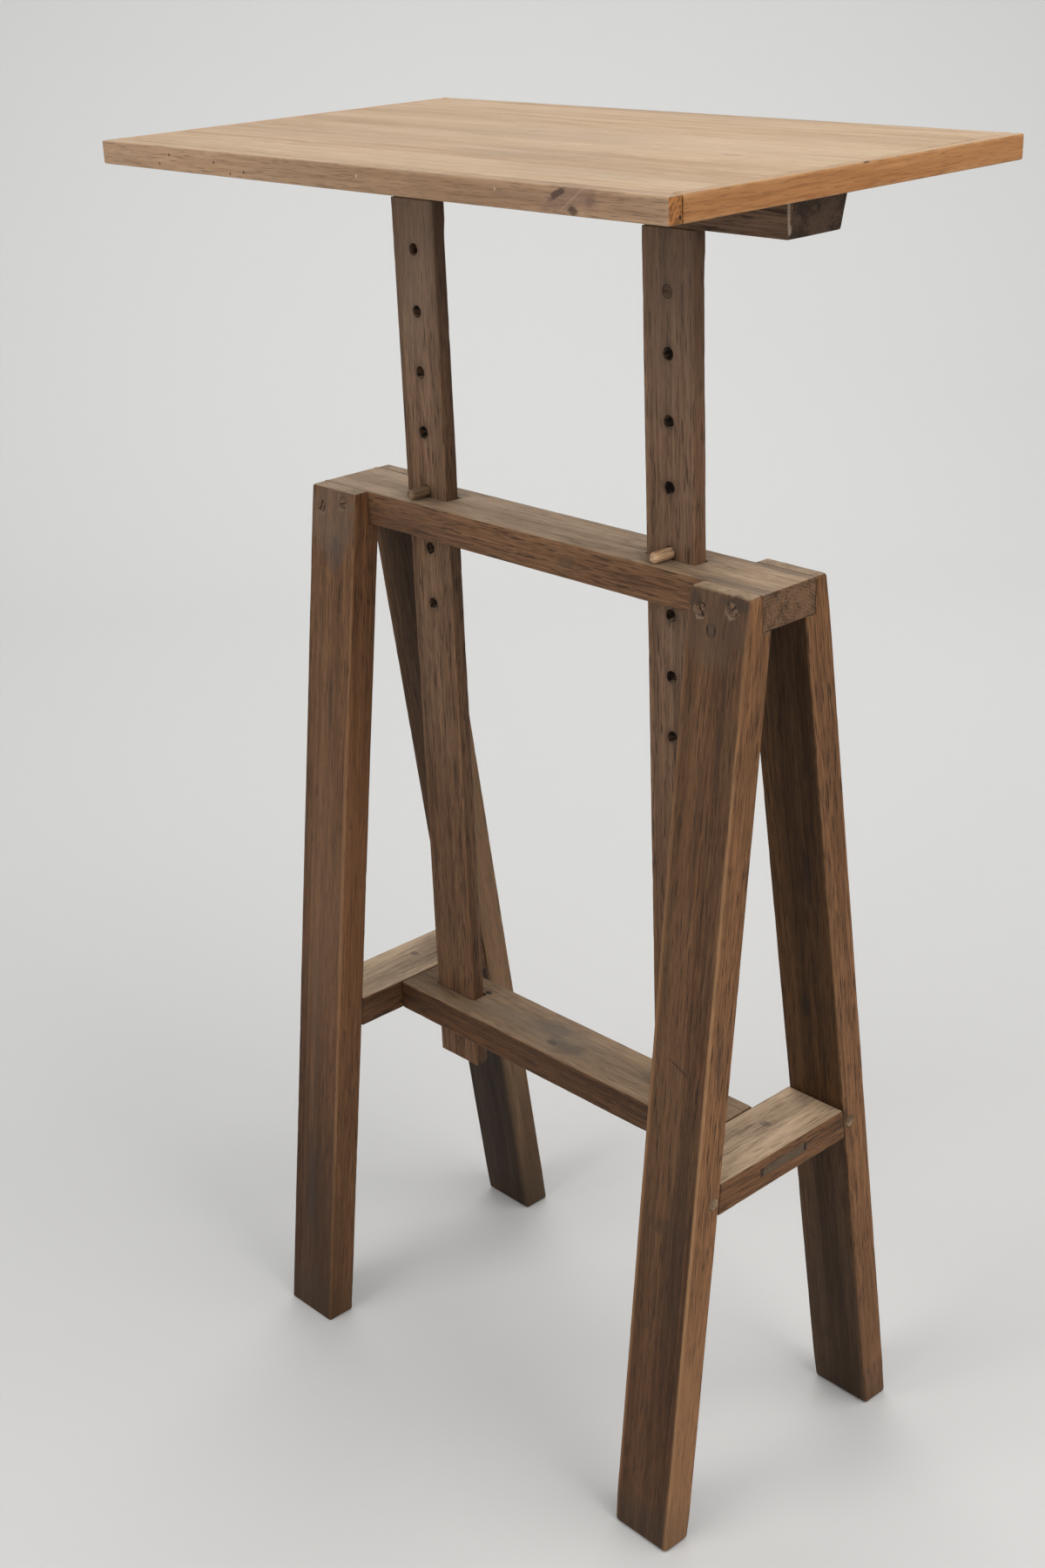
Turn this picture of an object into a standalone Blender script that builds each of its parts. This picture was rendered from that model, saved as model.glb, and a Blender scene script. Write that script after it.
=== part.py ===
"""Height-adjustable wooden work stand: a trestle and a flat top on two pegged posts.

Metres, +Z up. X runs along the top, the front is towards -Y, and the floor is z = 0.
The origin is on the floor, under the middle of the trestle.

The trestle is one rail carried by four legs that lean in over it, with a cross-rail
between each front and back leg and a stretcher between the cross-rails. Two posts slide
through mortises in the rail and the stretcher. They carry a beam with the top on it, and
a loose peg through each post rests on the rail and sets the height.
"""

import math

import bmesh
import bpy
from mathutils import Matrix, Vector

# Gap between pieces that touch, and play of a post in its mortise.
GAP = 0.0003
POST_PLAY = 0.001

# How far a cutter reaches past the surfaces that it opens.
OVERSHOOT = 0.010

# Trestle
FRAME_LENGTH = 0.504
STOCK_WIDTH = 0.059
STOCK_THICKNESS = 0.028
RAIL_TOP = 0.800
RAIL_THICKNESS = 0.029
LEG_TOP_OUT = 0.0433
LEG_FOOT_OUT = 0.1455
CROSS_RAIL_TOP = 0.3265

# Joints of the trestle
LEG_TENON_WIDTH = 0.020
LEG_TENON_HEIGHT = 0.022
LEG_TENON_DEPTH = 0.018
LEG_PIN_DIAMETER = 0.010
LEG_PIN_LENGTH = 0.045
LEG_PIN_INSET = 0.0072
STRETCHER_TENON_WIDTH = 0.050
STRETCHER_TENON_THICKNESS = 0.008
STRETCHER_TENON_RISE = 0.002
WEDGE_LENGTH = 0.030
WEDGE_THIN = 0.0006
WEDGE_THICK = 0.0030

# Posts and pegs
POST_SPACING = 0.281
POST_WIDTH = 0.050
POST_THICKNESS = 0.014
POST_BOTTOM = 0.256
PEG_DIAMETER = 0.0092
PEG_HOLE_DIAMETER = 0.010
PEG_PITCH = 0.050
PEG_FRONT_REACH = 0.026
PEG_BACK_REACH = 0.020
LOWEST_HOLE = -3
LEFT_HOLES = range(LOWEST_HOLE + 1, 5)
RIGHT_HOLES = range(LOWEST_HOLE, 5)
PLUGGED_HOLE = ("right", 4)
PLUGGED_HOLE_DROP = 0.005
PLUG_RECESS = 0.0005

# Beam under the top
BEAM_BOTTOM = 1.045
BEAM_HEIGHT = 0.0355
BEAM_WIDTH = 0.057
BEAM_LENGTH = 0.521
BEAM_END_UNDERCUT = 0.0075
POST_TENON_WIDTH = 0.040
POST_TENON_FRONT = -0.0035
POST_TENON_BACK = 0.0040
POST_TENON_LENGTH = 0.024
BEAM_PIN_DIAMETER = 0.006
BEAM_PIN_LENGTH = 0.027
BEAM_PIN_RISE = 0.012

# Top
TOP_LENGTH = 0.616
TOP_DEPTH = 0.364
TOP_THICKNESS = 0.018
FRONT_LIPPING = 0.013
SIDE_LIPPING = 0.009

# Slotted countersunk screws: head diameter, shank diameter, length
LEG_SCREW = (0.0100, 0.0050, 0.034)
BEAM_SCREW = (0.0092, 0.0046, 0.048)
SCREW_TIP = 0.006
SCREW_RIM = 0.0006
SLOT_WIDTH = 0.0014
SLOT_DEPTH = 0.0013
HOLE_OVERSHOOT = 0.001
LEG_SCREW_OFFSETS = ((-0.0155, 0.0165), (0.0143, 0.0100))
LEG_SCREW_TURNS = (70, 15, 128, 40, 100, 8, 55, 150)
BEAM_SCREW_PLACES = (-0.205, -0.070, 0.070, 0.205)
BEAM_SCREW_TURN = 35

# Softened edges
BOARD_EDGE = 0.0016
POST_EDGE = 0.0024
LIPPING_EDGE = 0.0010
PANEL_EDGE = 0.00025
PEG_EDGE = 0.0010
ROUND_SIDES = 20
PILOT_SIDES = 16

# Worked out from the sizes above
RAIL_BOTTOM = RAIL_TOP - RAIL_THICKNESS
CROSS_RAIL_BOTTOM = CROSS_RAIL_TOP - STOCK_THICKNESS
LEG_ANGLE = math.atan((LEG_FOOT_OUT - LEG_TOP_OUT) / RAIL_TOP)
LEG_CENTRE_X = (FRAME_LENGTH - STOCK_WIDTH) / 2
TENON_MIDDLE = (CROSS_RAIL_TOP + CROSS_RAIL_BOTTOM) / 2
BEAM_TOP = BEAM_BOTTOM + BEAM_HEIGHT
BEAM_FRONT = -POST_THICKNESS / 2
BEAM_MIDDLE_Y = BEAM_FRONT + BEAM_WIDTH / 2
TOP_BOTTOM = BEAM_TOP + GAP
TOP_SURFACE = TOP_BOTTOM + TOP_THICKNESS
PEG_HEIGHT = RAIL_TOP + GAP + PEG_DIAMETER / 2

SIDES = {"left": -1, "right": 1}
DEPTHS = {"front": -1, "back": 1}

# Surface finishes: base colour, roughness, metallic
FINISHES = {
    "dark_wood": ((0.110, 0.066, 0.042, 1.0), 0.62, 0.0),
    "frame_wood": ((0.150, 0.092, 0.058, 1.0), 0.64, 0.0),
    "top_wood": ((0.520, 0.360, 0.235, 1.0), 0.58, 0.0),
    "lipping_wood": ((0.250, 0.145, 0.080, 1.0), 0.60, 0.0),
    "peg_wood": ((0.360, 0.235, 0.140, 1.0), 0.60, 0.0),
    "rusty_steel": ((0.120, 0.070, 0.045, 1.0), 0.70, 0.8),
}


# ---------------------------------------------------------------- scene helpers


def clear_scene():
    for obj in list(bpy.data.objects):
        bpy.data.objects.remove(obj, do_unlink=True)


def make_collection(name):
    collection = bpy.data.collections.new(name)
    bpy.context.scene.collection.children.link(collection)
    return collection


def make_material(name, finish):
    colour, roughness, metallic = FINISHES[finish]
    material = bpy.data.materials.new(name)
    material.use_nodes = True
    shader = material.node_tree.nodes["Principled BSDF"]
    shader.inputs["Base Color"].default_value = colour
    shader.inputs["Roughness"].default_value = roughness
    shader.inputs["Metallic"].default_value = metallic
    material.diffuse_color = colour
    return material


def add_object(name, mesh, matrix=None, finish=None):
    """Links a mesh as a part, or as a hidden cutter when it has no finish."""
    obj = bpy.data.objects.new(name, mesh)
    if matrix is not None:
        obj.matrix_world = matrix
    if finish is None:
        CUTTERS.objects.link(obj)
        obj.hide_render = True
        obj.display_type = "WIRE"
    else:
        PARTS.objects.link(obj)
        obj.data.materials.clear()
        obj.data.materials.append(make_material(name + "_finish", finish))
    return obj


def add_empty(name, place):
    empty = bpy.data.objects.new(name, None)
    empty.location = place
    empty.empty_display_size = 0.05
    PARTS.objects.link(empty)
    return empty


def attach(pieces, empty):
    """Parents pieces to an empty and leaves them where they are."""
    for piece in pieces:
        piece.parent = empty
        piece.matrix_parent_inverse = Matrix.Translation(-empty.location)


# ---------------------------------------------------------------- shapes


def block(name, place, finish=None):
    """A six-sided block. place(i, j, k) gives the corner at the low (0) or high (1) end of X, Y and Z."""
    mesh = bpy.data.meshes.new(name)
    corners = [Vector(place(i, j, k)) for i in (0, 1) for j in (0, 1) for k in (0, 1)]
    centre = sum(corners, Vector()) / len(corners)
    form = bmesh.new()
    bmesh.ops.create_cube(form, size=2)
    for vertex in form.verts:
        low_or_high = [int(value > 0) for value in vertex.co]
        vertex.co = Vector(place(*low_or_high)) - centre
    if form.calc_volume(signed=True) < 0:
        bmesh.ops.reverse_faces(form, faces=form.faces)
    form.to_mesh(mesh)
    form.free()
    return add_object(name, mesh, Matrix.Translation(centre), finish)


def box(name, x, y, z, finish=None):
    """A square block between the low and high ends given for X, Y and Z."""
    return block(name, lambda i, j, k: (x[i], y[j], z[k]), finish)


def rod(name, diameter, start, end, finish=None, sides=ROUND_SIDES):
    """A round rod from start to end."""
    axis = Vector(end) - Vector(start)
    mesh = bpy.data.meshes.new(name)
    form = bmesh.new()
    bmesh.ops.create_cone(
        form, cap_ends=True, segments=sides, radius1=diameter / 2, radius2=diameter / 2, depth=axis.length
    )
    form.to_mesh(mesh)
    form.free()
    mesh.shade_smooth()
    mesh.set_sharp_from_angle(angle=math.radians(35))
    turn = axis.to_track_quat("Z", "Y").to_matrix().to_4x4()
    return add_object(name, mesh, Matrix.Translation((Vector(start) + Vector(end)) / 2) @ turn, finish)


def soften(obj, width, segments=2):
    bevel = obj.modifiers.new("softened_edges", "BEVEL")
    bevel.width = width
    bevel.segments = segments
    bevel.limit_method = "ANGLE"
    bevel.angle_limit = math.radians(40)


def combine(obj, other, operation):
    boolean = obj.modifiers.new(operation.lower() + "_" + other.name, "BOOLEAN")
    boolean.operation = operation
    boolean.object = other
    boolean.solver = "EXACT"


def cut(obj, *cutters):
    for cutter in cutters:
        combine(obj, cutter, "DIFFERENCE")


def cut_row(obj, name, cutters):
    """Cuts a row of separate holes in one step."""
    row = bpy.data.collections.new(name)
    CUTTERS.children.link(row)
    for cutter in cutters:
        row.objects.link(cutter)
    boolean = obj.modifiers.new(name, "BOOLEAN")
    boolean.operation = "DIFFERENCE"
    boolean.operand_type = "COLLECTION"
    boolean.collection = row
    boolean.solver = "EXACT"


def join(obj, *others):
    for other in others:
        combine(obj, other, "UNION")


def evaluated_mesh(obj):
    """The object's shape with its modifiers applied, as a new mesh."""
    bpy.context.view_layer.update()
    graph = bpy.context.evaluated_depsgraph_get()
    return bpy.data.meshes.new_from_object(obj.evaluated_get(graph))


def turned_screw(name, sizes, clearance=0.0, sides=ROUND_SIDES):
    """A countersunk screw pointing down from z = 0, turned from its half section."""
    head, shank, length = sizes
    head_radius = head / 2 + clearance
    shank_radius = shank / 2 + clearance
    rim = SCREW_RIM + clearance
    cone_end = rim + head_radius - shank_radius
    top = HOLE_OVERSHOOT if clearance else 0.0
    tip = length + clearance
    profile = [
        (0.0, top),
        (head_radius, top),
        (head_radius, -rim),
        (shank_radius, -cone_end),
        (shank_radius, -(tip - SCREW_TIP)),
        (0.0, -tip),
    ]
    mesh = bpy.data.meshes.new(name)
    edges = [(index, index + 1) for index in range(len(profile) - 1)]
    mesh.from_pydata([(radius, 0.0, height) for radius, height in profile], edges, [])
    obj = add_object(name, mesh)
    turn = obj.modifiers.new("turned", "SCREW")
    turn.steps = sides
    turn.render_steps = sides
    turn.use_merge_vertices = True
    turn.merge_threshold = 0.00001
    return obj


def slotted_screw_mesh(name, sizes):
    """One screw's finished mesh, shared by every copy of it."""
    body = turned_screw(name + "_body", sizes)
    half = sizes[0]
    slot = box(name + "_slot", (-half, half), (-SLOT_WIDTH / 2, SLOT_WIDTH / 2), (-SLOT_DEPTH, OVERSHOOT))
    cut(body, slot)
    mesh = evaluated_mesh(body)
    bpy.data.objects.remove(body)
    bpy.data.objects.remove(slot)
    mesh.shade_smooth()
    mesh.set_sharp_from_angle(angle=math.radians(35))
    return mesh


def drive_screw(name, shape, sizes, head, outward, turn_degrees):
    """Places one screw with its head at a point, and returns it with the cutter of its hole."""
    facing = Vector(outward).to_track_quat("Z", "Y").to_matrix().to_4x4()
    turn = Matrix.Rotation(math.radians(turn_degrees), 4, "Z")
    screw = add_object(name, shape.copy(), Matrix.Translation(head) @ facing @ turn, "rusty_steel")
    hole = turned_screw(name + "_hole", sizes, clearance=GAP, sides=PILOT_SIDES)
    hole.matrix_world = Matrix.Translation(head) @ facing
    return screw, hole


# ---------------------------------------------------------------- trestle


def leg_outer(z):
    """How far the legs' outer faces are from the middle at a height."""
    return LEG_FOOT_OUT + (LEG_TOP_OUT - LEG_FOOT_OUT) * z / RAIL_TOP


def leg_inner(z):
    return leg_outer(z) - STOCK_THICKNESS / math.cos(LEG_ANGLE)


def leg_span(side):
    """A leg's low and high X."""
    middle = side * LEG_CENTRE_X
    return middle - STOCK_WIDTH / 2, middle + STOCK_WIDTH / 2


def make_leg(name, side, depth):
    """A leaning leg, notched at its top so that the rail rests on its shoulder."""
    x = leg_span(side)
    z = (0.0, RAIL_TOP)
    faces = (leg_inner, leg_outer)
    leg = block(name, lambda i, j, k: (x[i], depth * faces[j](z[k]), z[k]), "frame_wood")
    soften(leg, BOARD_EDGE)
    reach = depth * (STOCK_WIDTH / 2 + GAP)
    notch = box(
        name + "_notch",
        (x[0] - OVERSHOOT, x[1] + OVERSHOOT),
        sorted((0.0, reach)),
        (RAIL_BOTTOM - GAP, RAIL_TOP + OVERSHOOT),
    )
    cut(leg, notch)
    return leg


def make_legs():
    legs = {}
    for depth_name, depth in DEPTHS.items():
        for side_name, side in SIDES.items():
            legs[side, depth] = make_leg(f"{depth_name}_{side_name}_leg", side, depth)
    return legs


def make_rail():
    half = FRAME_LENGTH / 2
    width = STOCK_WIDTH / 2
    rail = box("top_rail", (-half, half), (-width, width), (RAIL_BOTTOM, RAIL_TOP), "frame_wood")
    soften(rail, BOARD_EDGE)
    return rail


def make_cross_rail(side_name, side, legs):
    """A board between a front and a back leg, with a pinned blind tenon in each."""
    x = leg_span(side)
    z = (CROSS_RAIL_BOTTOM, CROSS_RAIL_TOP)
    cross_rail = block(
        f"{side_name}_cross_rail",
        lambda i, j, k: (x[i], (-1, 1)[j] * (leg_inner(z[k]) - GAP), z[k]),
        "frame_wood",
    )
    soften(cross_rail, BOARD_EDGE)
    middle = side * LEG_CENTRE_X
    half_width = LEG_TENON_WIDTH / 2
    half_height = LEG_TENON_HEIGHT / 2
    reach = leg_inner(TENON_MIDDLE) + LEG_TENON_DEPTH
    tenon = box(
        f"{side_name}_cross_rail_tenons",
        (middle - half_width, middle + half_width),
        (-reach, reach),
        (TENON_MIDDLE - half_height, TENON_MIDDLE + half_height),
    )
    mortise = box(
        f"{side_name}_leg_mortises",
        (middle - half_width - GAP, middle + half_width + GAP),
        (-reach - GAP, reach + GAP),
        (TENON_MIDDLE - half_height - GAP, TENON_MIDDLE + half_height + GAP),
    )
    join(cross_rail, tenon)
    for depth_name, depth in DEPTHS.items():
        leg = legs[side, depth]
        cut(leg, mortise)
        pin_leg(f"{depth_name}_{side_name}_leg_pin", side, depth, leg, cross_rail)
    return cross_rail


def pin_leg(name, side, depth, leg, cross_rail):
    """A dowel from the leg's outer end face through the cross-rail's tenon."""
    y = depth * (leg_inner(TENON_MIDDLE) + LEG_PIN_INSET)
    outside = side * FRAME_LENGTH / 2
    inside = outside - side * LEG_PIN_LENGTH
    rod(name, LEG_PIN_DIAMETER, (outside, y, TENON_MIDDLE), (inside, y, TENON_MIDDLE), "peg_wood")
    hole = rod(
        name + "_hole",
        LEG_PIN_DIAMETER + 2 * GAP,
        (outside + side * OVERSHOOT, y, TENON_MIDDLE),
        (inside - side * GAP, y, TENON_MIDDLE),
    )
    cut(leg, hole)
    cut(cross_rail, hole)


def make_stretcher(cross_rails):
    """The lower board, with a wedged tenon through each cross-rail."""
    shoulder = FRAME_LENGTH / 2 - STOCK_WIDTH - GAP
    width = STOCK_WIDTH / 2
    stretcher = box(
        "stretcher", (-shoulder, shoulder), (-width, width), (CROSS_RAIL_BOTTOM, CROSS_RAIL_TOP), "frame_wood"
    )
    soften(stretcher, BOARD_EDGE)
    end = FRAME_LENGTH / 2
    half_width = STRETCHER_TENON_WIDTH / 2
    half_thickness = STRETCHER_TENON_THICKNESS / 2
    middle = TENON_MIDDLE + STRETCHER_TENON_RISE
    z = (middle - half_thickness, middle + half_thickness)
    mortise_z = (z[0] - GAP, z[1] + GAP)
    join(stretcher, box("stretcher_tenons", (-end, end), (-half_width, half_width), z))
    for side_name, side in SIDES.items():
        straight = box(
            f"{side_name}_through_mortise",
            sorted((side * (shoulder - OVERSHOOT), side * (end + OVERSHOOT))),
            (-half_width - GAP, half_width + GAP),
            mortise_z,
        )
        cut(cross_rails[side], straight)
        for depth_name, depth in DEPTHS.items():
            name = f"{side_name}_{depth_name}_wedge"
            make_wedge(name, side, depth, z)
            cut(cross_rails[side], wedge_slot(name + "_slot", side, depth, mortise_z))
    return stretcher


def make_wedge(name, side, depth, z):
    """A thin wedge driven in beside the tenon from outside."""
    outside = side * FRAME_LENGTH / 2
    x = (outside - side * WEDGE_LENGTH, outside)
    tenon_side = STRETCHER_TENON_WIDTH / 2 + GAP
    y = ((tenon_side, tenon_side + WEDGE_THIN), (tenon_side, tenon_side + WEDGE_THICK))
    return block(name, lambda i, j, k: (x[i], depth * y[i][j], z[k]), "peg_wood")


def wedge_slot(name, side, depth, z):
    """The flare of the mortise that the wedge fills."""
    outside = side * FRAME_LENGTH / 2
    slope = (WEDGE_THICK - WEDGE_THIN) / WEDGE_LENGTH
    x = (outside - side * (WEDGE_LENGTH + GAP), outside + side * OVERSHOOT)
    tenon_side = STRETCHER_TENON_WIDTH / 2 + GAP
    flare = (tenon_side + WEDGE_THIN + GAP, tenon_side + WEDGE_THICK + GAP + OVERSHOOT * slope)
    return block(name, lambda i, j, k: (x[i], depth * (0.0, flare[i])[j], z[k]))


def screw_legs(rail, legs):
    """Two slotted screws through the top of each leg into the edge of the rail."""
    shape = slotted_screw_mesh("leg_screw", LEG_SCREW)
    turns = iter(LEG_SCREW_TURNS)
    for depth_name, depth in DEPTHS.items():
        for side_name, side in SIDES.items():
            for number, (offset, drop) in enumerate(LEG_SCREW_OFFSETS, start=1):
                z = RAIL_TOP - drop
                head = Vector((side * LEG_CENTRE_X + offset, depth * leg_outer(z), z))
                outward = (0, depth * math.cos(LEG_ANGLE), math.sin(LEG_ANGLE))
                name = f"{depth_name}_{side_name}_leg_screw_{number}"
                hole = drive_screw(name, shape, LEG_SCREW, head, outward, next(turns))[1]
                cut(legs[side, depth], hole)
                cut(rail, hole)


def make_trestle():
    rail = make_rail()
    legs = make_legs()
    cross_rails = {side: make_cross_rail(name, side, legs) for name, side in SIDES.items()}
    stretcher = make_stretcher(cross_rails)
    screw_legs(rail, legs)
    half_width = POST_WIDTH / 2 + POST_PLAY
    half_thickness = POST_THICKNESS / 2 + POST_PLAY
    for side_name, side in SIDES.items():
        x = side * POST_SPACING / 2
        for board, low, high in (
            (rail, RAIL_BOTTOM, RAIL_TOP),
            (stretcher, CROSS_RAIL_BOTTOM, CROSS_RAIL_TOP),
        ):
            mortise = box(
                f"{side_name}_{board.name}_mortise",
                (x - half_width, x + half_width),
                (-half_thickness, half_thickness),
                (low - OVERSHOOT, high + OVERSHOOT),
            )
            cut(board, mortise)


# ---------------------------------------------------------------- posts, beam and pegs


def hole_height(side_name, number):
    """Height of a peg hole, counted from the one that the peg is in. The plugged one sits a little low."""
    drop = PLUGGED_HOLE_DROP if (side_name, number) == PLUGGED_HOLE else 0.0
    return PEG_HEIGHT + number * PEG_PITCH - drop


def make_post(side_name, side, holes):
    x = side * POST_SPACING / 2
    half_width = POST_WIDTH / 2
    half_thickness = POST_THICKNESS / 2
    post = box(
        f"{side_name}_post",
        (x - half_width, x + half_width),
        (-half_thickness, half_thickness),
        (POST_BOTTOM, BEAM_BOTTOM - GAP),
        "dark_wood",
    )
    soften(post, POST_EDGE)
    tenon = box(
        f"{side_name}_post_tenon",
        (x - POST_TENON_WIDTH / 2, x + POST_TENON_WIDTH / 2),
        (POST_TENON_FRONT, POST_TENON_BACK),
        (BEAM_BOTTOM - OVERSHOOT, BEAM_BOTTOM + POST_TENON_LENGTH),
    )
    join(post, tenon)
    reach = half_thickness + OVERSHOOT
    row = []
    for number in holes:
        z = hole_height(side_name, number)
        name = f"{side_name}_peg_hole_{number - LOWEST_HOLE + 1}"
        row.append(rod(name, PEG_HOLE_DIAMETER, (x, -reach, z), (x, reach, z)))
    cut_row(post, f"{side_name}_peg_holes", row)
    return post


def make_beam():
    y = (BEAM_FRONT, BEAM_FRONT + BEAM_WIDTH)
    z = (BEAM_BOTTOM, BEAM_TOP)
    half_lengths = (BEAM_LENGTH / 2 - BEAM_END_UNDERCUT, BEAM_LENGTH / 2)
    beam = block("beam", lambda i, j, k: ((-1, 1)[i] * half_lengths[k], y[j], z[k]), "dark_wood")
    soften(beam, BOARD_EDGE)
    return beam


def fit_post(side_name, side, beam, post):
    """Mortise for a post's tenon, and the dowel that pins it from the front."""
    x = side * POST_SPACING / 2
    mortise = box(
        f"{side_name}_beam_mortise",
        (x - POST_TENON_WIDTH / 2 - GAP, x + POST_TENON_WIDTH / 2 + GAP),
        (POST_TENON_FRONT - GAP, POST_TENON_BACK + GAP),
        (BEAM_BOTTOM - OVERSHOOT, BEAM_BOTTOM + POST_TENON_LENGTH + GAP),
    )
    cut(beam, mortise)
    z = BEAM_BOTTOM + BEAM_PIN_RISE
    back = BEAM_FRONT + BEAM_PIN_LENGTH
    pin = rod(f"{side_name}_beam_pin", BEAM_PIN_DIAMETER, (x, BEAM_FRONT, z), (x, back, z), "peg_wood")
    hole = rod(
        f"{side_name}_beam_pin_hole",
        BEAM_PIN_DIAMETER + 2 * GAP,
        (x, BEAM_FRONT - OVERSHOOT, z),
        (x, back + GAP, z),
    )
    cut(beam, hole)
    cut(post, hole)
    return pin


def make_plug():
    """A dowel that closes the right post's top hole."""
    x = POST_SPACING / 2
    reach = POST_THICKNESS / 2 - PLUG_RECESS
    z = hole_height(*PLUGGED_HOLE)
    return rod("post_hole_plug", PEG_HOLE_DIAMETER - 2 * GAP, (x, -reach, z), (x, reach, z), "peg_wood")


def make_peg(side_name, side):
    x = side * POST_SPACING / 2
    start = (x, PEG_BACK_REACH, PEG_HEIGHT)
    end = (x, -PEG_FRONT_REACH, PEG_HEIGHT)
    peg = rod(f"{side_name}_peg", PEG_DIAMETER, start, end, "peg_wood")
    soften(peg, PEG_EDGE)
    return peg


# ---------------------------------------------------------------- top


def make_top():
    """A core panel with a lipping on each edge. The side lippings run behind the front one."""
    half = TOP_LENGTH / 2
    depth = TOP_DEPTH / 2
    z = (TOP_BOTTOM, TOP_SURFACE)
    core_x = half - SIDE_LIPPING - GAP
    core_y = depth - FRONT_LIPPING - GAP
    side_start = -depth + FRONT_LIPPING + GAP
    core = box("top_panel", (-core_x, core_x), (-core_y, core_y), z, "top_wood")
    lippings = [
        box("front_lipping", (-half, half), (-depth, -depth + FRONT_LIPPING), z, "lipping_wood"),
        box("back_lipping", (-core_x, core_x), (depth - FRONT_LIPPING, depth), z, "lipping_wood"),
        box("left_lipping", (-half, -half + SIDE_LIPPING), (side_start, depth), z, "lipping_wood"),
        box("right_lipping", (half - SIDE_LIPPING, half), (side_start, depth), z, "lipping_wood"),
    ]
    soften(core, PANEL_EDGE)
    for lipping in lippings:
        soften(lipping, LIPPING_EDGE)
    return core, lippings


def screw_top(beam, core):
    """Screws up through the beam into the panel."""
    shape = slotted_screw_mesh("beam_screw", BEAM_SCREW)
    screws = []
    for number, x in enumerate(BEAM_SCREW_PLACES, start=1):
        head = Vector((x, BEAM_MIDDLE_Y, BEAM_BOTTOM))
        turn = number * BEAM_SCREW_TURN
        screw, hole = drive_screw(f"beam_screw_{number}", shape, BEAM_SCREW, head, (0, 0, -1), turn)
        cut(beam, hole)
        cut(core, hole)
        screws.append(screw)
    return screws


def make_carriage():
    """Everything that rises and falls together, with the two pegs that hold it up."""
    beam = make_beam()
    left_post = make_post("left", SIDES["left"], LEFT_HOLES)
    right_post = make_post("right", SIDES["right"], RIGHT_HOLES)
    left_pin = fit_post("left", SIDES["left"], beam, left_post)
    right_pin = fit_post("right", SIDES["right"], beam, right_post)
    core, lippings = make_top()
    screws = screw_top(beam, core)
    pegs = [make_peg(name, side) for name, side in SIDES.items()]
    slide = add_empty("height_slide", (0.0, 0.0, RAIL_TOP))
    pieces = [beam, left_post, right_post, left_pin, right_pin, make_plug(), core]
    attach(pieces + lippings + screws + pegs, slide)


clear_scene()
PARTS = make_collection("work_stand")
CUTTERS = make_collection("cutters")
CUTTERS.hide_render = True
make_trestle()
make_carriage()
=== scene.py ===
"""Looks of the height-adjustable work stand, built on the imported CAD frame.

Each board is a worn copy of its CAD solid: a finely cut block whose edges, faces and ends are
rounded, rippled and nicked in code. Small fixings keep their CAD solids. Every material is wood
or rusty steel drawn by nodes, in the piece's own space, with X along the grain.
"""

import math

import bmesh
import bpy
from mathutils import Euler, Matrix, Vector, noise


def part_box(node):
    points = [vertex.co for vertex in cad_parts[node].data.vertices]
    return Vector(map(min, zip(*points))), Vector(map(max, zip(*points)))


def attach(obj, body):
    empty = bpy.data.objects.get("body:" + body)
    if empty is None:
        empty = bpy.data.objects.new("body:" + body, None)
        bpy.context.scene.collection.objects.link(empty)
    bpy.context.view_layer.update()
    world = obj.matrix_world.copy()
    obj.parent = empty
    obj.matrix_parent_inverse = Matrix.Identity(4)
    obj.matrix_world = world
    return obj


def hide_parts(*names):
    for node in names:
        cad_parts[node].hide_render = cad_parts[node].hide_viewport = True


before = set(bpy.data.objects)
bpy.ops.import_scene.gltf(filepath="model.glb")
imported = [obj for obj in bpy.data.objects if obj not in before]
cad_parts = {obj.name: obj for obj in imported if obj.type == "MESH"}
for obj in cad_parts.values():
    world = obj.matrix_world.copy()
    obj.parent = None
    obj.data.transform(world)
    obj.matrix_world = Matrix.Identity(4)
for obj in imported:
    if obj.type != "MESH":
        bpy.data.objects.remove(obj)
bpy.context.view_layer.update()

# Sizes that the CAD boxes don't give, in metres
LEG_TOP_OUT = 0.0433
LEG_FOOT_OUT = 0.1455
STOCK_THICKNESS = 0.028
STOCK_WIDTH = 0.059
POST_THICKNESS = 0.014
POST_WIDTH = 0.05
POST_PLAY = 0.001
PEG_HOLE = 0.01
PEG_PITCH = 0.05
TENON_WIDTH = 0.05
GAP = 0.0003
# How far cutters reach past the wood
OVERSHOOT = 0.02
SHORT_OVERSHOOT = 0.01

RAIL_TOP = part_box("top_rail")[1].z
LEAN = math.atan((LEG_FOOT_OUT - LEG_TOP_OUT) / RAIL_TOP)
PEG_HEIGHT = (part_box("left_peg")[0].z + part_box("left_peg")[1].z) / 2
SIDES = {"left": -1, "right": 1}
DEPTHS = {"front": -1, "back": 1}

# How round the boards' edges are worn
BOARD_EDGE = 0.0018
TIGHT_EDGE = 0.0003
POST_EDGE = 0.0011
BEAM_EDGE = 0.0014
PANEL_EDGE = 0.0004
LIPPING_EDGE = 0.0015

# Camera: where it stands, how it is turned, and its lens
CAMERA_PLACE = (1.2073, -1.1337, 1.276)
CAMERA_TURN = 47.82
CAMERA_PITCH = 22.95
CAMERA_ROLL = -2.41
CAMERA_LENS = 49.0


# ---- shapes


# Cuts near a board's edge, and where the even cuts begin, in edge radii
EDGE_CUTS = (0.35, 0.75, 1.35)
EVEN_CUTS_START = 2.2
# The edge's roundness varies along the board: waves per metre and share of the radius
SLOW_WAVES = 16
SLOW_SHARE = 0.24
QUICK_WAVES = 5.3
QUICK_SHARE = 0.14
# Waves of the faces per metre, along and across the grain
FACE_WAVES = (8, 30, 30)
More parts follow.
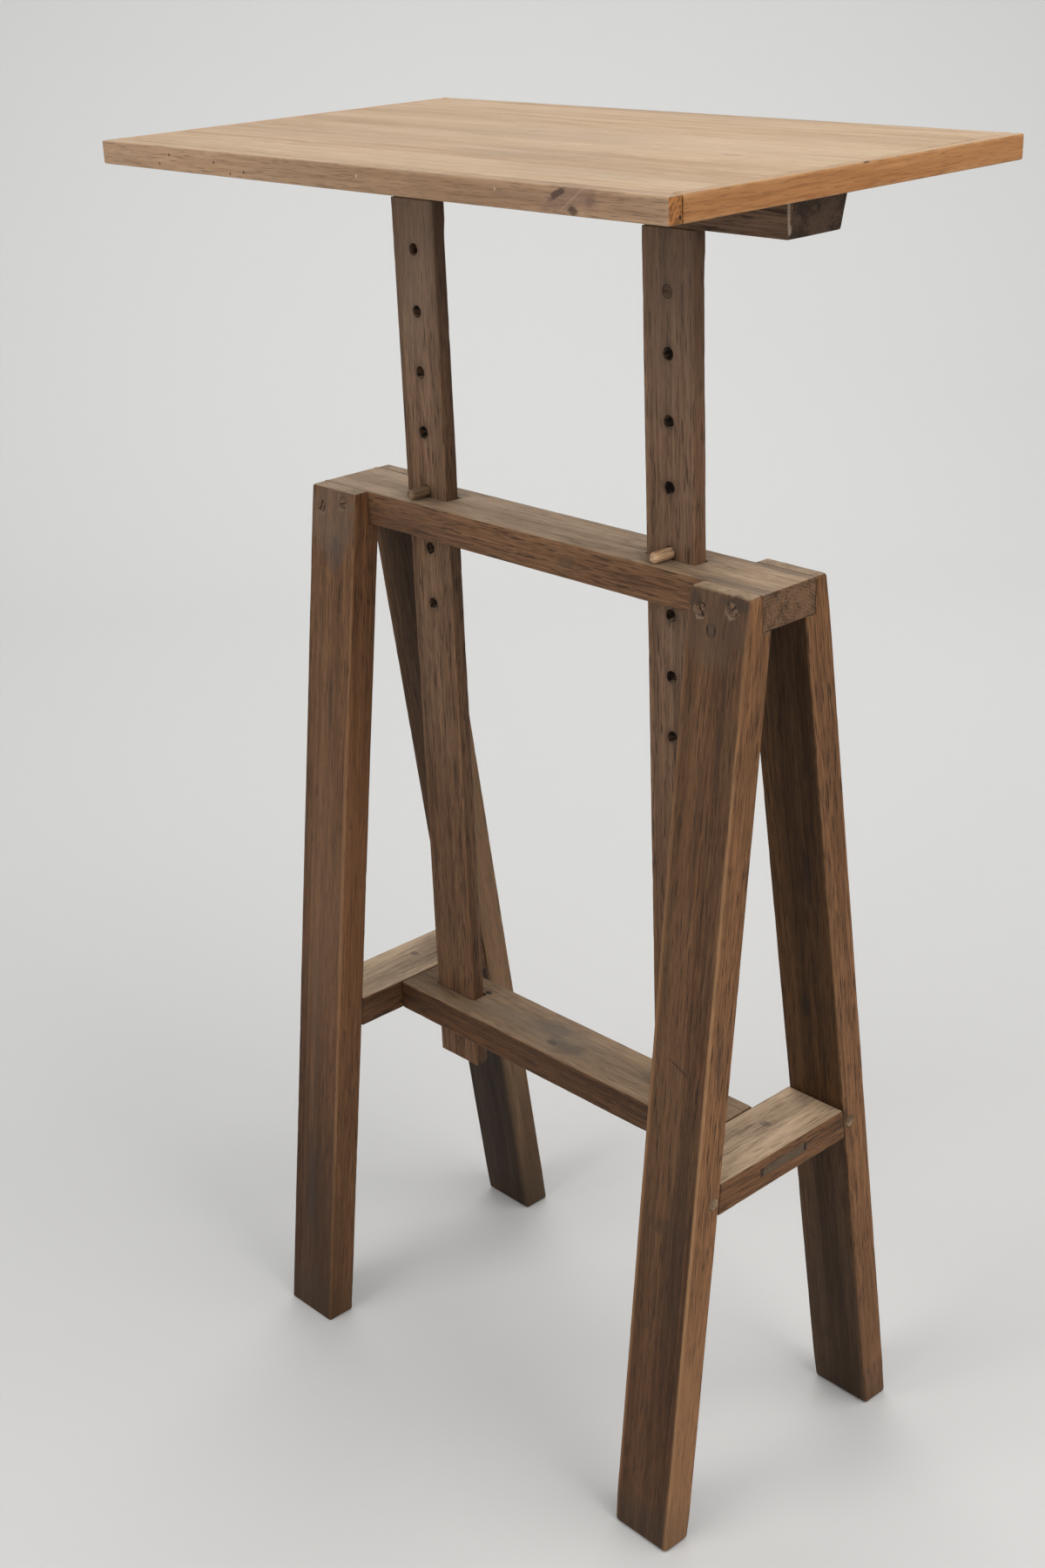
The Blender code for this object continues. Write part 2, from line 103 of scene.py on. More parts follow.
# Nicks: how many per metre, where they begin and how deep they are
NICK_WAVES = 75
NICK_START = 0.3
NICK_DEPTH = 0.0016


def grid_lines(half, edge, step):
    """Cut lines from -half to half, closer together near both ends."""
    near = [0.0] + [share * edge for share in EDGE_CUTS]
    inner = half - EVEN_CUTS_START * edge
    count = max(1, math.ceil(2 * inner / step))
    middle = [inner * (2 * index / count - 1) for index in range(count + 1)]
    low = [value - half for value in near]
    return low + middle + [-value for value in reversed(low)]


def block_form(lines):
    """A closed block whose faces are cut along the given X, Y and Z lines."""
    form = bmesh.new()
    points = {}
    last = [len(values) - 1 for values in lines]

    def point(index):
        if index not in points:
            points[index] = form.verts.new([lines[axis][index[axis]] for axis in range(3)])
        return points[index]

    for axis in range(3):
        first, second = (axis + 1) % 3, (axis + 2) % 3
        for end in (0, last[axis]):
            for i in range(last[first]):
                for j in range(last[second]):
                    corners = [(i, j), (i + 1, j), (i + 1, j + 1), (i, j + 1)]
                    if end == 0:
                        corners.reverse()
                    quad = []
                    for a, b in corners:
                        index = [end, end, end]
                        index[first] = a
                        index[second] = b
                        quad.append(point(tuple(index)))
                    form.faces.new(quad)
    return form


def worn_point(point, half, edge, seed, edge_at, ripple):
    """Moves a point of a square block onto its worn, rounded surface."""
    side = Vector((0.0, math.copysign(2.3, point.y), math.copysign(3.1, point.z)))
    along = Vector((point.x * SLOW_WAVES + seed, 0.0, 0.0)) + side
    slow = SLOW_SHARE * noise.noise(along)
    quick = QUICK_SHARE * noise.noise(along * QUICK_WAVES)
    radius = edge * (1 + slow + quick)
    if edge_at:
        radius = edge_at(point, radius)
    radius = min(radius, 0.98 * min(half))
    core = Vector([min(max(c, radius - h), h - radius) for c, h in zip(point, half)])
    out = point - core
    corner = min(1.0, 2.2 * (1 - max(abs(c) for c in out) / out.length))
    shift = Vector((seed, seed * 0.7, -seed))
    wave = noise.noise(Vector([c * waves for c, waves in zip(point, FACE_WAVES)]) + shift)
    nick = max(0.0, noise.noise(point * NICK_WAVES + shift) - NICK_START) * corner
    sink = ripple * (0.5 + 0.5 * wave) + NICK_DEPTH * nick
    return core + out.normalized() * (radius - min(sink, 0.6 * radius))


def add_object(name, data):
    piece = bpy.data.objects.new(name, data)
    bpy.context.scene.collection.objects.link(piece)
    return piece


def worn_board(name, size, edge, seed, step=0.007, edge_at=None, slant=None, ripple=0.00025):
    """A board with X along its grain, centred on its own origin."""
    half = [value / 2 for value in size]
    lines = [grid_lines(h, edge, step) for h in half]
    form = block_form(lines)
    for vertex in form.verts:
        vertex.co = worn_point(vertex.co.copy(), half, edge, seed, edge_at, ripple)
        if slant:
            vertex.co.x = slant(vertex.co)
    mesh = bpy.data.meshes.new(name)
    form.to_mesh(mesh)
    form.free()
    mesh.shade_smooth()
    return add_object(name, mesh)


def place(piece, origin, along=(1, 0, 0), across=(0, 1, 0)):
    """Puts a piece's origin at a point, with its X and Y axes as given."""
    x = Vector(along).normalized()
    y = Vector(across).normalized()
    z = x.cross(y)
    turn = Matrix((x, y, z)).transposed().to_4x4()
    piece.matrix_world = Matrix.Translation(origin) @ turn
    return piece


def box_cutter(low, high):
    form = bmesh.new()
    bmesh.ops.create_cube(form, size=1)
    low, high = Vector(low), Vector(high)
    for vertex in form.verts:
        vertex.co = [(a + b) / 2 + part * (b - a) for a, b, part in zip(low, high, vertex.co)]
    return cutter_from(form)


def rod_cutter(diameter, start, end, sides=32, end_diameter=None):
    axis = Vector(end) - Vector(start)
    form = bmesh.new()
    bmesh.ops.create_cone(
        form,
        cap_ends=True,
        segments=sides,
        radius1=diameter / 2,
        radius2=(end_diameter or diameter) / 2,
        depth=axis.length,
    )
    turn = axis.to_track_quat("Z", "Y").to_matrix().to_4x4()
    form.transform(Matrix.Translation((Vector(start) + Vector(end)) / 2) @ turn)
    return cutter_from(form)


def cutter_from(form):
    mesh = bpy.data.meshes.new("cutter")
    form.to_mesh(mesh)
    form.free()
    cutter = add_object("cutter", mesh)
    return cutter


def shape_with(piece, others, operation="DIFFERENCE"):
    """Cuts others from a piece, or joins them to it, and removes them."""
    group = bpy.data.collections.new("others")
    bpy.context.scene.collection.children.link(group)
    for other in others:
        group.objects.link(other)
    boolean = piece.modifiers.new("shape", "BOOLEAN")
    boolean.operation = operation
    boolean.operand_type = "COLLECTION"
    boolean.collection = group
    boolean.solver = "EXACT"
    bpy.context.view_layer.update()
    graph = bpy.context.evaluated_depsgraph_get()
    mesh = bpy.data.meshes.new_from_object(piece.evaluated_get(graph))
    piece.modifiers.clear()
    piece.data = mesh
    for other in others:
        bpy.data.objects.remove(other)
    bpy.data.collections.remove(group)
    mesh.set_sharp_from_angle(angle=math.radians(48))
    return piece


def stand_for(piece, body, node, material):
    piece.data.materials.clear()
    piece.data.materials.append(material)
    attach(piece, body)
    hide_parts(node)
    return piece


# ---- materials


class Paint:
    """A material's nodes. Each method adds one node and returns its output."""

    def __init__(self, name):
        self.material = bpy.data.materials.new(name)
        self.material.use_nodes = True
        self.tree = self.material.node_tree
        self.shader = self.tree.nodes["Principled BSDF"]
        self.place = self.node("ShaderNodeTexCoord").outputs["Object"]
        self.own_normal = self.node("ShaderNodeTexCoord").outputs["Normal"]
        self.facing = self.node("ShaderNodeNewGeometry").outputs["Normal"]

    def node(self, kind, **settings):
        node = self.tree.nodes.new(kind)
        for name, value in settings.items():
            setattr(node, name, value)
        return node

    def feed(self, socket, value):
        if isinstance(value, bpy.types.NodeSocket):
            self.tree.links.new(value, socket)
        else:
            socket.default_value = value

    def math(self, operation, *values):
        node = self.node("ShaderNodeMath", operation=operation)
        for socket, value in zip(node.inputs, values):
            self.feed(socket, value)
        return node.outputs[0]

    def vector(self, operation, *values):
        node = self.node("ShaderNodeVectorMath", operation=operation)
        for socket, value in zip(node.inputs, values):
            self.feed(socket, value)
        return node.outputs["Value" if operation in ("LENGTH", "DOT_PRODUCT") else "Vector"]

    def noise(self, scale, detail=2.0, roughness=0.5, shift=0.0, output="Fac"):
        """Noise at a scale per metre along X, Y and Z of the piece."""
        stretched = self.vector("MULTIPLY", self.place, scale)
        moved = self.vector("ADD", stretched, (shift, shift * 1.7, shift * 2.3))
        node = self.node("ShaderNodeTexNoise")
        self.feed(node.inputs["Vector"], moved)
        node.inputs["Scale"].default_value = 1.0
        node.inputs["Detail"].default_value = detail
        node.inputs["Roughness"].default_value = roughness
        return node.outputs[output]

    def ease(self, value, low, high, start=0.0, end=1.0):
        """Eases from start to end as the value goes from low to high."""
        node = self.node("ShaderNodeMapRange", interpolation_type="SMOOTHSTEP")
        for socket, given in zip(node.inputs, (value, low, high, start, end)):
            self.feed(socket, given)
        return node.outputs[0]

    def mix(self, amount, first, second, blend="MIX"):
        node = self.node("ShaderNodeMix", data_type="RGBA", blend_type=blend)
        self.feed(node.inputs[0], amount)
        self.feed(node.inputs[6], colour(first))
        self.feed(node.inputs[7], colour(second))
        return node.outputs[2]

    def split(self, vector):
        node = self.node("ShaderNodeSeparateXYZ")
        self.feed(node.inputs[0], vector)
        return node.outputs

    def mark(self, centre, radii, soft, lean, shift):
        """A ragged patch, 1 in its middle and 0 outside. It leans in X with height across the grain."""
        away = self.vector("SUBTRACT", self.place, centre)
        if lean:
            x, y, z = self.split(away)
            sloped = self.math("SUBTRACT", x, self.math("MULTIPLY", self.math("ADD", y, z), lean))
            away = self.joined(sloped, y, z)
        distance = self.vector("LENGTH", self.vector("DIVIDE", away, radii))
        size = [min(1.6 / radius, 900) for radius in radii]
        rough = self.noise(tuple(size), 4.0, 0.65, shift)
        ragged = self.math("MULTIPLY_ADD", rough, 1.5, -0.75)
        return self.ease(self.math("ADD", distance, ragged), 0.95 - soft, 0.95 + soft, 1.0, 0.0)

    def joined(self, x, y, z):
        node = self.node("ShaderNodeCombineXYZ")
        for socket, value in zip(node.inputs, (x, y, z)):
            self.feed(socket, value)
        return node.outputs[0]

    def bump(self, height, distance, strength=1.0):
        node = self.node("ShaderNodeBump")
        node.inputs["Strength"].default_value = strength
        node.inputs["Distance"].default_value = distance
        self.feed(node.inputs["Height"], height)
        self.feed(self.shader.inputs["Normal"], node.outputs["Normal"])


def colour(value):
    if isinstance(value, tuple) and len(value) == 3:
        return (*value, 1.0)
    return value


def shade(value, factor):
    return tuple(channel * factor for channel in value)


# Looks of the woods: dark, middle and light grain, pores, clouds, end grain, dust, worn edges
FRAME_LOOK = {
    "dark": (0.064, 0.027, 0.0105),
    "middle": (0.121, 0.054, 0.022),
    "light": (0.192, 0.091, 0.037),
    "pore": (0.023, 0.0115, 0.005),
    "cloud": (0.109, 0.062, 0.029),
    "cloud_amount": 0.5,
    "end": (0.15, 0.084, 0.044),
    "dust": (0.415, 0.3, 0.195),
    "dust_amount": 0.88,
    "wear": (0.234, 0.118, 0.051),
    "wear_amount": 0.42,
    "pore_amount": 0.62,
    "dash_amount": 0.72,
    "band_amount": 0.6,
    "wander": 0.008,
    "streak": (1.5, 46, 46),
    "fibre": (26, 520, 520),
}
POST_LOOK = {
    **FRAME_LOOK,
    "dark": (0.082, 0.043, 0.023),
    "middle": (0.145, 0.078, 0.042),
    "light": (0.209, 0.118, 0.067),
    "cloud": (0.153, 0.097, 0.061),
    "wear_amount": 0.25,
}
BEAM_LOOK = {
    **POST_LOOK,
    "end": (0.056, 0.031, 0.017),
    "dark": (0.066, 0.036, 0.021),
    "middle": (0.115, 0.065, 0.039),
    "light": (0.17, 0.101, 0.062),
}
LOW_LOOK = {
    **FRAME_LOOK,
    "dark": (0.034, 0.013, 0.0045),
    "middle": (0.068, 0.028, 0.01),
    "light": (0.112, 0.048, 0.018),
    "cloud": (0.06, 0.031, 0.013),
    "dust": (0.3, 0.2, 0.118),
    "wear_amount": 0.28,
}
CROSS_LOOK = {**LOW_LOOK, "dust": shade(FRAME_LOOK["dust"], 1.42)}
RAIL_LOOK = {
    **FRAME_LOOK,
    "dark": (0.083, 0.038, 0.0165),
    "middle": (0.155, 0.074, 0.034),
    "light": (0.238, 0.12, 0.055),
    "end": (0.125, 0.066, 0.033),
    "dust": shade(FRAME_LOOK["dust"], 1.12),
}
TOP_LOOK = {
    "dark": (0.414, 0.266, 0.153),
    "middle": (0.508, 0.346, 0.209),
    "light": (0.58, 0.411, 0.257),
    "pore": (0.328, 0.205, 0.118),
    "cloud": (0.414, 0.288, 0.182),
    "cloud_amount": 0.5,
    "end": (0.31, 0.184, 0.093),
    "dust": (0.52, 0.365, 0.232),
    "dust_amount": 0.0,
    "wear": (0.547, 0.383, 0.24),
    "wear_amount": 0.3,
    "pore_amount": 0.22,
    "dash_amount": 0.16,
    "band_amount": 0.12,
    "wander": 0.016,
    "streak": (1.6, 22, 22),
    "fibre": (12, 300, 300),
}
FRONT_LOOK = {
    **TOP_LOOK,
    "dark": (0.223, 0.127, 0.069),
    "middle": (0.334, 0.201, 0.117),
    "light": (0.435, 0.278, 0.167),
    "pore": (0.11, 0.066, 0.04),
    "cloud": (0.301, 0.207, 0.138),
    "end": (0.35, 0.14, 0.04),
    "dust": (0.47, 0.322, 0.198),
    "dust_amount": 0.97,
    "wear": (0.467, 0.307, 0.188),
    "wear_amount": 0.45,
    "pore_amount": 0.45,
}
SIDE_LOOK = {
    **FRONT_LOOK,
    "dark": (0.301, 0.121, 0.039),
    "middle": (0.401, 0.178, 0.062),
    "light": (0.495, 0.242, 0.094),
    "cloud": (0.351, 0.169, 0.066),
    "pore": (0.161, 0.068, 0.025),
    "cloud_amount": 0.4,
    "wear": (0.627, 0.363, 0.176),
    "wear_amount": 0.35,
}
PEG_LOOK = {
    **FRAME_LOOK,
    "dark": (0.25, 0.15, 0.08),
    "middle": (0.36, 0.23, 0.13),
    "light": (0.46, 0.31, 0.185),
    "pore": (0.14, 0.08, 0.045),
    "cloud": (0.24, 0.16, 0.1),
    "end": (0.33, 0.215, 0.125),
    "dust_amount": 0.2,
    "wear_amount": 0.0,
}


def dimmed(look, factor):
    """The same look with its wood lighter or darker."""
    woods = {key: shade(look[key], factor) for key in ("dark", "middle", "light", "cloud", "end")}
    return {**look, **woods}


# Noise scales per metre, along the grain and twice across it
WANDER_SCALE = (2.6, 7.0, 7.0)
PORE_SCALE = (55, 1500, 1500)
DASH_SCALE = (34, 520, 520)
BAND_SCALE = (1.3, 190, 190)
CLOUD_SCALE = (4.5, 13, 13)
DUST_SCALE = (7, 16, 16)
FRAY_SCALE = (60, 220, 220)
# How much the streaks, fibres and rings add to the grain's tone
STREAK_SHARE = 0.48
FIBRE_SHARE = 0.38
RING_SHARE = 0.14
# How much less the pores show under dust and on end grain
UNDER_DUST = 0.62
ON_END_GRAIN = 0.6
# A mark's softness and lean, where it doesn't give its own
MARK_SHAPE = (0.35, 0.0)
WOOD_SPECULAR = 0.22
WOOD_BUMP = 0.00035


class Grain:
    """The layers of a board's grain, each from 0 to 1. Its X axis runs along the grain."""

    def __init__(self, paint, look, seed, pith, ring):
        self.rings = growth_rings(paint, look["wander"], seed, pith, ring)
        streaks = paint.ease(paint.noise(look["streak"], 4.0, 0.6, seed + 3), 0.34, 0.66)
        self.fibres = paint.ease(paint.noise(look["fibre"], 3.0, 0.65, seed + 7), 0.32, 0.68)
        self.pores = paint.ease(paint.noise(PORE_SCALE, 1.0, 0.5, seed + 11), 0.6, 0.7)
        self.dashes = paint.ease(paint.noise(DASH_SCALE, 2.0, 0.6, seed + 13), 0.56, 0.66)
        self.bands = paint.ease(paint.noise(BAND_SCALE, 3.0, 0.6, seed + 19), 0.5, 0.63)
        self.clouds = paint.ease(paint.noise(CLOUD_SCALE, 3.0, 0.55, seed + 17), 0.4, 0.68)
        tone = paint.math("MULTIPLY", streaks, STREAK_SHARE)
        tone = paint.math("MULTIPLY_ADD", self.fibres, FIBRE_SHARE, tone)
        self.tone = paint.math("MULTIPLY_ADD", self.rings, RING_SHARE, tone)
        along = paint.math("ABSOLUTE", paint.split(paint.own_normal)["X"])
        self.ends = paint.ease(along, 0.7, 0.95)


def growth_rings(paint, wander, seed, pith, ring):
    """Rings round the pith, a point in Y and Z, that bend along the board."""
    bend = paint.noise(WANDER_SCALE, 2.0, 0.5, seed, "Color")
    centred = paint.vector("SUBTRACT", bend, (0.5, 0.5, 0.5))
    moved = paint.vector("MULTIPLY_ADD", centred, (0.0, wander, wander), paint.place)
    from_pith = paint.vector("SUBTRACT", moved, (0.0, *pith))
    flat = paint.vector("MULTIPLY", from_pith, (0.0, 1.0, 1.0))
    phase = paint.math("MULTIPLY", paint.vector("LENGTH", flat), 2 * math.pi / ring)
    return paint.math("MULTIPLY_ADD", paint.math("SINE", phase), 0.5, 0.5)


def bare_wood(paint, look, grain):
    """The wood's own colour, before the painted light and shade, dust and wear."""
    result = paint.mix(paint.ease(grain.tone, 0.1, 0.52), look["dark"], look["middle"])
    result = paint.mix(paint.ease(grain.tone, 0.48, 0.95), result, look["light"])
    banded = paint.math("MULTIPLY", grain.bands, look["band_amount"])
    result = paint.mix(banded, result, look["dark"])
    clouded = paint.mix(paint.math("MULTIPLY", grain.tone, 0.5), look["cloud"], look["light"])
    return paint.mix(paint.math("MULTIPLY", grain.clouds, look["cloud_amount"]), result, clouded)


def faded(paint, result, fade):
    start, end, factor = fade
    amount = paint.ease(paint.split(paint.place)["X"], start, end, 0.0, 1.0)
    return paint.mix(amount, result, paint.mix(1.0, result, factor, "MULTIPLY"))


def with_facing_light(paint, look, grain, result, tint):
    """Painted light and shade: a lighter or darker copy of the wood on the faces that look in one
    direction.
    """
    direction, tone, amount = tint
    facing = paint.vector("DOT_PRODUCT", paint.facing, direction)
    side = paint.ease(facing, 0.66, 0.82, 0.0, amount)
    toned = paint.mix(paint.ease(grain.tone, 0.15, 0.85), shade(tone, 0.66), shade(tone, 1.36))
    banded = paint.math("MULTIPLY", grain.bands, 0.5 * look["band_amount"])
    toned = paint.mix(banded, toned, shade(tone, 0.5))
    return paint.mix(side, result, toned)


def dust_amount(paint, look, seed):
    """Dust lies in patches on what faces up."""
    up = paint.ease(paint.split(paint.facing)["Z"], 0.62, 0.96)
    patchy = paint.ease(paint.noise(DUST_SCALE, 4.0, 0.62, seed + 23), 0.26, 0.56, 0.55, 1.0)
    return paint.math("MULTIPLY", paint.math("MULTIPLY", up, patchy), look["dust_amount"])


def edge_wear(paint, look, seed, half):
    """Wear along the four long edges of a board of the given half width and thickness."""
    _, y, z = paint.split(paint.place)
    from_side = paint.math("SUBTRACT", half[0], paint.math("ABSOLUTE", y))
    from_face = paint.math("SUBTRACT", half[1], paint.math("ABSOLUTE", z))
    gap = paint.math("ADD", from_side, from_face)
    frayed = paint.noise(FRAY_SCALE, 3.0, 0.6, seed + 29)
    edge = paint.math("MULTIPLY_ADD", frayed, 0.007, gap)
    return paint.ease(edge, 0.0036, 0.0066, look["wear_amount"], 0.0)


def with_pores(paint, look, grain, dust, result):
    """Dark dashes and pores, which show less under dust and on end grain."""
    clear = paint.math("MULTIPLY_ADD", dust, -UNDER_DUST, 1.0)
    clear = paint.math("MULTIPLY", clear, paint.math("MULTIPLY_ADD", grain.ends, -ON_END_GRAIN, 1.0))
    for dots, amount in ((grain.dashes, look["dash_amount"]), (grain.pores, look["pore_amount"])):
        shown = paint.math("MULTIPLY", paint.math("MULTIPLY", dots, amount), clear)
        result = paint.mix(shown, result, look["pore"])
    return result


def with_marks(paint, seed, marks, result):
    """Stains, knots and dots: (centre, radii, colour, amount), and softness and lean if given."""
    for index, (centre, radii, tint, amount, *shape) in enumerate(marks):
        soft, lean = (*shape, *MARK_SHAPE[len(shape):])
        patch = paint.mark(centre, radii, soft, lean, seed + index)
        result = paint.mix(paint.math("MULTIPLY", patch, amount), result, tint)
    return result


def wood(name, look, seed, half=None, pith=(0.035, -0.1), ring=0.0026, facing_light=(), marks=(), fade=None):
    """Wood with its grain along X.

    half: half the board's width and thickness, for wear along its edges
    pith: where the tree's middle is, in Y and Z. ring: the width of a growth ring
    tints: painted light and shade, (direction, colour, amount) for the faces that look that way
    fade: (x, x, colour), by which the board is multiplied from the first x to the second
    """
    paint = Paint(name)
    grain = Grain(paint, look, seed, pith, ring)
    result = bare_wood(paint, look, grain)
    if fade:
        result = faded(paint, result, fade)
    for tint in facing_light:
        result = with_facing_light(paint, look, grain, result, tint)
    end = look["end"]
    end_tone = paint.mix(paint.ease(grain.tone, 0.2, 0.8), shade(end, 0.5), shade(end, 1.45))
    result = paint.mix(grain.ends, result, end_tone)
    dust = dust_amount(paint, look, seed)
    dusty = paint.mix(
        paint.ease(grain.tone, 0.1, 0.9), shade(look["dust"], 0.78), shade(look["dust"], 1.14)
    )
    result = paint.mix(dust, result, dusty)
    if half:
        result = paint.mix(edge_wear(paint, look, seed, half), result, look["wear"])
    result = with_pores(paint, look, grain, dust, result)
    result = with_marks(paint, seed, marks, result)

    paint.feed(paint.shader.inputs["Base Color"], result)
    paint.feed(paint.shader.inputs["Roughness"], paint.ease(grain.tone, 0.1, 0.9, 0.72, 0.56))
    paint.shader.inputs["Specular IOR Level"].default_value = WOOD_SPECULAR
    rings = paint.math("MULTIPLY", grain.rings, 0.25)
    height = paint.math("MULTIPLY_ADD", grain.fibres, 0.45, rings)
    height = paint.math("MULTIPLY_ADD", grain.pores, -0.8, height)
    paint.bump(height, WOOD_BUMP, 0.8)
    return paint.material


def rusty_steel(name, seed):
    paint = Paint(name)
    coarse = paint.ease(paint.noise((420, 420, 420), 4.0, 0.6, seed), 0.36, 0.64)
    fine = paint.noise((2400, 2400, 2400), 3.0, 0.6, seed + 5)
    rust = paint.mix(coarse, (0.06, 0.034, 0.022), (0.175, 0.09, 0.048))
    rust = paint.mix(paint.ease(fine, 0.6, 0.72, 0.0, 0.6), rust, (0.23, 0.165, 0.115))
    paint.feed(paint.shader.inputs["Base Color"], rust)
    paint.feed(paint.shader.inputs["Metallic"], paint.ease(coarse, 0.2, 0.9, 0.45, 0.05))
    paint.feed(paint.shader.inputs["Roughness"], paint.ease(coarse, 0.0, 1.0, 0.55, 0.85))
    paint.bump(paint.math("ADD", coarse, fine), 0.00012, 0.7)
    return paint.material


# ---- trestle

# Painted light on the legs' right faces, a lighter orange, and painted shade on their inner faces
PAINTED_LIGHT_ORANGE = (0.24, 0.108, 0.043)
PAINTED_SHADE_BROWN = (0.075, 0.036, 0.013)
# Grime on the feet, and filler in the screw holes
GRIME = (0.038, 0.026, 0.015)
FILLER = (0.25, 0.165, 0.105)
LEG_LENGTH = RAIL_TOP / math.cos(LEAN)
HALF_STOCK = (STOCK_WIDTH / 2, STOCK_THICKNESS / 2)


def leg_outer(z):
    return LEG_FOOT_OUT + (LEG_TOP_OUT - LEG_FOOT_OUT) * z / RAIL_TOP


def leg_frame(side, depth):
    """A leg's middle, and its directions along, across and out."""
    x = side * (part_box("front_right_leg")[0].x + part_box("front_right_leg")[1].x) / 2
    middle = RAIL_TOP / 2
    y = depth * (leg_outer(middle) - STOCK_THICKNESS / math.cos(LEAN) / 2)
    along = Vector((0, -depth * math.sin(LEAN), math.cos(LEAN)))
    across = Vector((depth, 0, 0))
    return Vector((x, y, middle)), along, across


# Painted light and shade on each leg: how light the right face's tint and the inner face's tint are
LEG_PAINTED_LIGHT_AND_SHADE = {
    "front_right": (1.0, 1.0),
    "front_left": (0.74, 0.8),
    "back_right": (0.9, 1.0),
    "back_left": (0.95, 1.15),
}
# How much rounder each leg's edges are at its ends, and how far from them that begins
LEG_END_REACH = 0.03
LEG_END_WEAR = {"front_right": 1.1, "front_left": 0.2, "back_right": 0.8, "back_left": 0.6}
# Marks on the legs, in each leg's own space: X is 0.40 at the top and -0.40 at the foot. On a front
# leg, Z 0.014 is the front and Y -0.0295 the right face. On a back leg, Z -0.014 is the inner face
# and Y 0.0295 the right face.
LEG_MARKS = {
    "front_right": [
        # the greyed top, with stains along it
        ((0.378, 0.004, 0.014), (0.032, 0.04, 0.004), (0.088, 0.056, 0.035), 0.5),
        ((0.396, -0.017, 0.014), (0.006, 0.013, 0.005), (0.044, 0.029, 0.02), 0.65),
        ((0.393, 0.024, 0.014), (0.006, 0.008, 0.005), (0.044, 0.029, 0.02), 0.55),
        # a plug with its dark ring, between two cracks
        ((0.372, 0.0045, 0.014), (0.0054, 0.005, 0.004), (0.03, 0.019, 0.012), 0.6, 0.25),
        ((0.372, 0.0045, 0.014), (0.004, 0.0032, 0.004), (0.092, 0.055, 0.032), 0.8, 0.25),
        ((0.372, 0.0085, 0.014), (0.0036, 0.001, 0.004), (0.012, 0.008, 0.006), 0.8, 0.3),
        ((0.372, 0.001, 0.014), (0.0034, 0.0009, 0.004), (0.012, 0.008, 0.006), 0.7, 0.3),
        # the worn left edge, and the worn right edge, lighter with a painted highlight along it
        ((-0.08, 0.0285, 0.014), (0.42, 0.0032, 0.004), (0.255, 0.128, 0.056), 0.62, 0.5),
        ((-0.06, -0.029, 0.0142), (0.4, 0.0018, 0.0022), (0.37, 0.2, 0.094), 0.62, 0.5),
        # dark streaks, a scratch and a dent
        ((0.3, -0.012, 0.014), (0.05, 0.003, 0.003), (0.04, 0.022, 0.013), 0.45),
        ((0.21, 0.003, 0.014), (0.07, 0.0026, 0.003), (0.038, 0.02, 0.011), 0.45),
        ((0.025, 0.0, 0.014), (0.0013, 0.011, 0.004), (0.04, 0.016, 0.01), 0.65, 0.3, 0.4),
        ((0.01, -0.02, 0.014), (0.009, 0.0011, 0.004), (0.018, 0.01, 0.007), 0.8, 0.3),
        # dark patches low down, and the right face's own
        ((-0.115, 0.0, 0.014), (0.008, 0.024, 0.004), (0.05, 0.028, 0.016), 0.4),
        ((-0.13, -0.012, 0.014), (0.12, 0.01, 0.003), (0.036, 0.02, 0.011), 0.4),
        ((0.04, -0.0295, 0.002), (0.03, 0.004, 0.004), (0.07, 0.038, 0.022), 0.5),
        ((-0.42, -0.0295, 0.0), (0.24, 0.004, 0.022), (0.33, 0.17, 0.078), 0.45, 0.6),
    ],
    "front_left": [
        # the greyed top
        ((0.376, 0.0, 0.014), (0.03, 0.034, 0.004), (0.14, 0.1, 0.074), 0.45),
        ((0.345, -0.003, 0.014), (0.016, 0.011, 0.003), (0.072, 0.056, 0.045), 0.5),
        # a nick, streaks and the dark foot
        ((0.125, 0.012, 0.014), (0.006, 0.002, 0.003), (0.022, 0.014, 0.01), 0.7),
        ((-0.1, 0.004, 0.014), (0.09, 0.006, 0.003), (0.05, 0.028, 0.018), 0.5),
        ((-0.38, 0.0, 0.014), (0.16, 0.04, 0.004), (0.04, 0.021, 0.01), 0.45, 0.6),
        ((-0.27, 0.004, 0.014), (0.05, 0.008, 0.003), (0.03, 0.02, 0.013), 0.55, 0.6),
        ((0.2, -0.004, 0.014), (0.04, 0.0022, 0.003), (0.026, 0.017, 0.011), 0.6, 0.5, 0.1),
        # the worn right edge, and darker and lighter lengths
        ((-0.02, -0.029, 0.0142), (0.42, 0.0016, 0.0022), (0.25, 0.13, 0.06), 0.5, 0.5),
        ((-0.36, -0.0295, 0.0), (0.16, 0.004, 0.022), (0.105, 0.048, 0.018), 0.45, 0.6),
        ((0.03, 0.0, 0.014), (0.18, 0.03, 0.004), (0.175, 0.092, 0.048), 0.4, 0.6),
        ((0.06, -0.0295, 0.0), (0.18, 0.004, 0.022), (0.235, 0.105, 0.046), 0.45, 0.6),
    ],
    "back_right": [
        # the inner face's foot darkened as painted shadow, and knots, then the right face's foot
        ((-0.33, 0.0, -0.016), (0.15, 0.05, 0.008), (0.026, 0.013, 0.005), 0.6, 0.5),
        ((0.02, -0.003, -0.014), (0.012, 0.004, 0.003), (0.022, 0.013, 0.009), 0.8),
        ((0.15, 0.01, -0.014), (0.03, 0.005, 0.003), (0.026, 0.015, 0.01), 0.6),
        ((-0.34, 0.0295, 0.0), (0.13, 0.004, 0.022), (0.15, 0.07, 0.028), 0.4, 0.6),
    ],
    "back_left": [
        # the inner face's foot darkened as painted shadow, then the greyed right face and its foot
        ((-0.27, 0.0, -0.016), (0.17, 0.05, 0.008), (0.018, 0.009, 0.0045), 0.8, 0.5),
        ((0.0, 0.0295, 0.0), (0.44, 0.004, 0.022), (0.245, 0.16, 0.092), 0.55, 0.6),
        ((-0.43, 0.0295, 0.0), (0.22, 0.004, 0.022), (0.058, 0.033, 0.016), 0.85, 0.6),
    ],
}


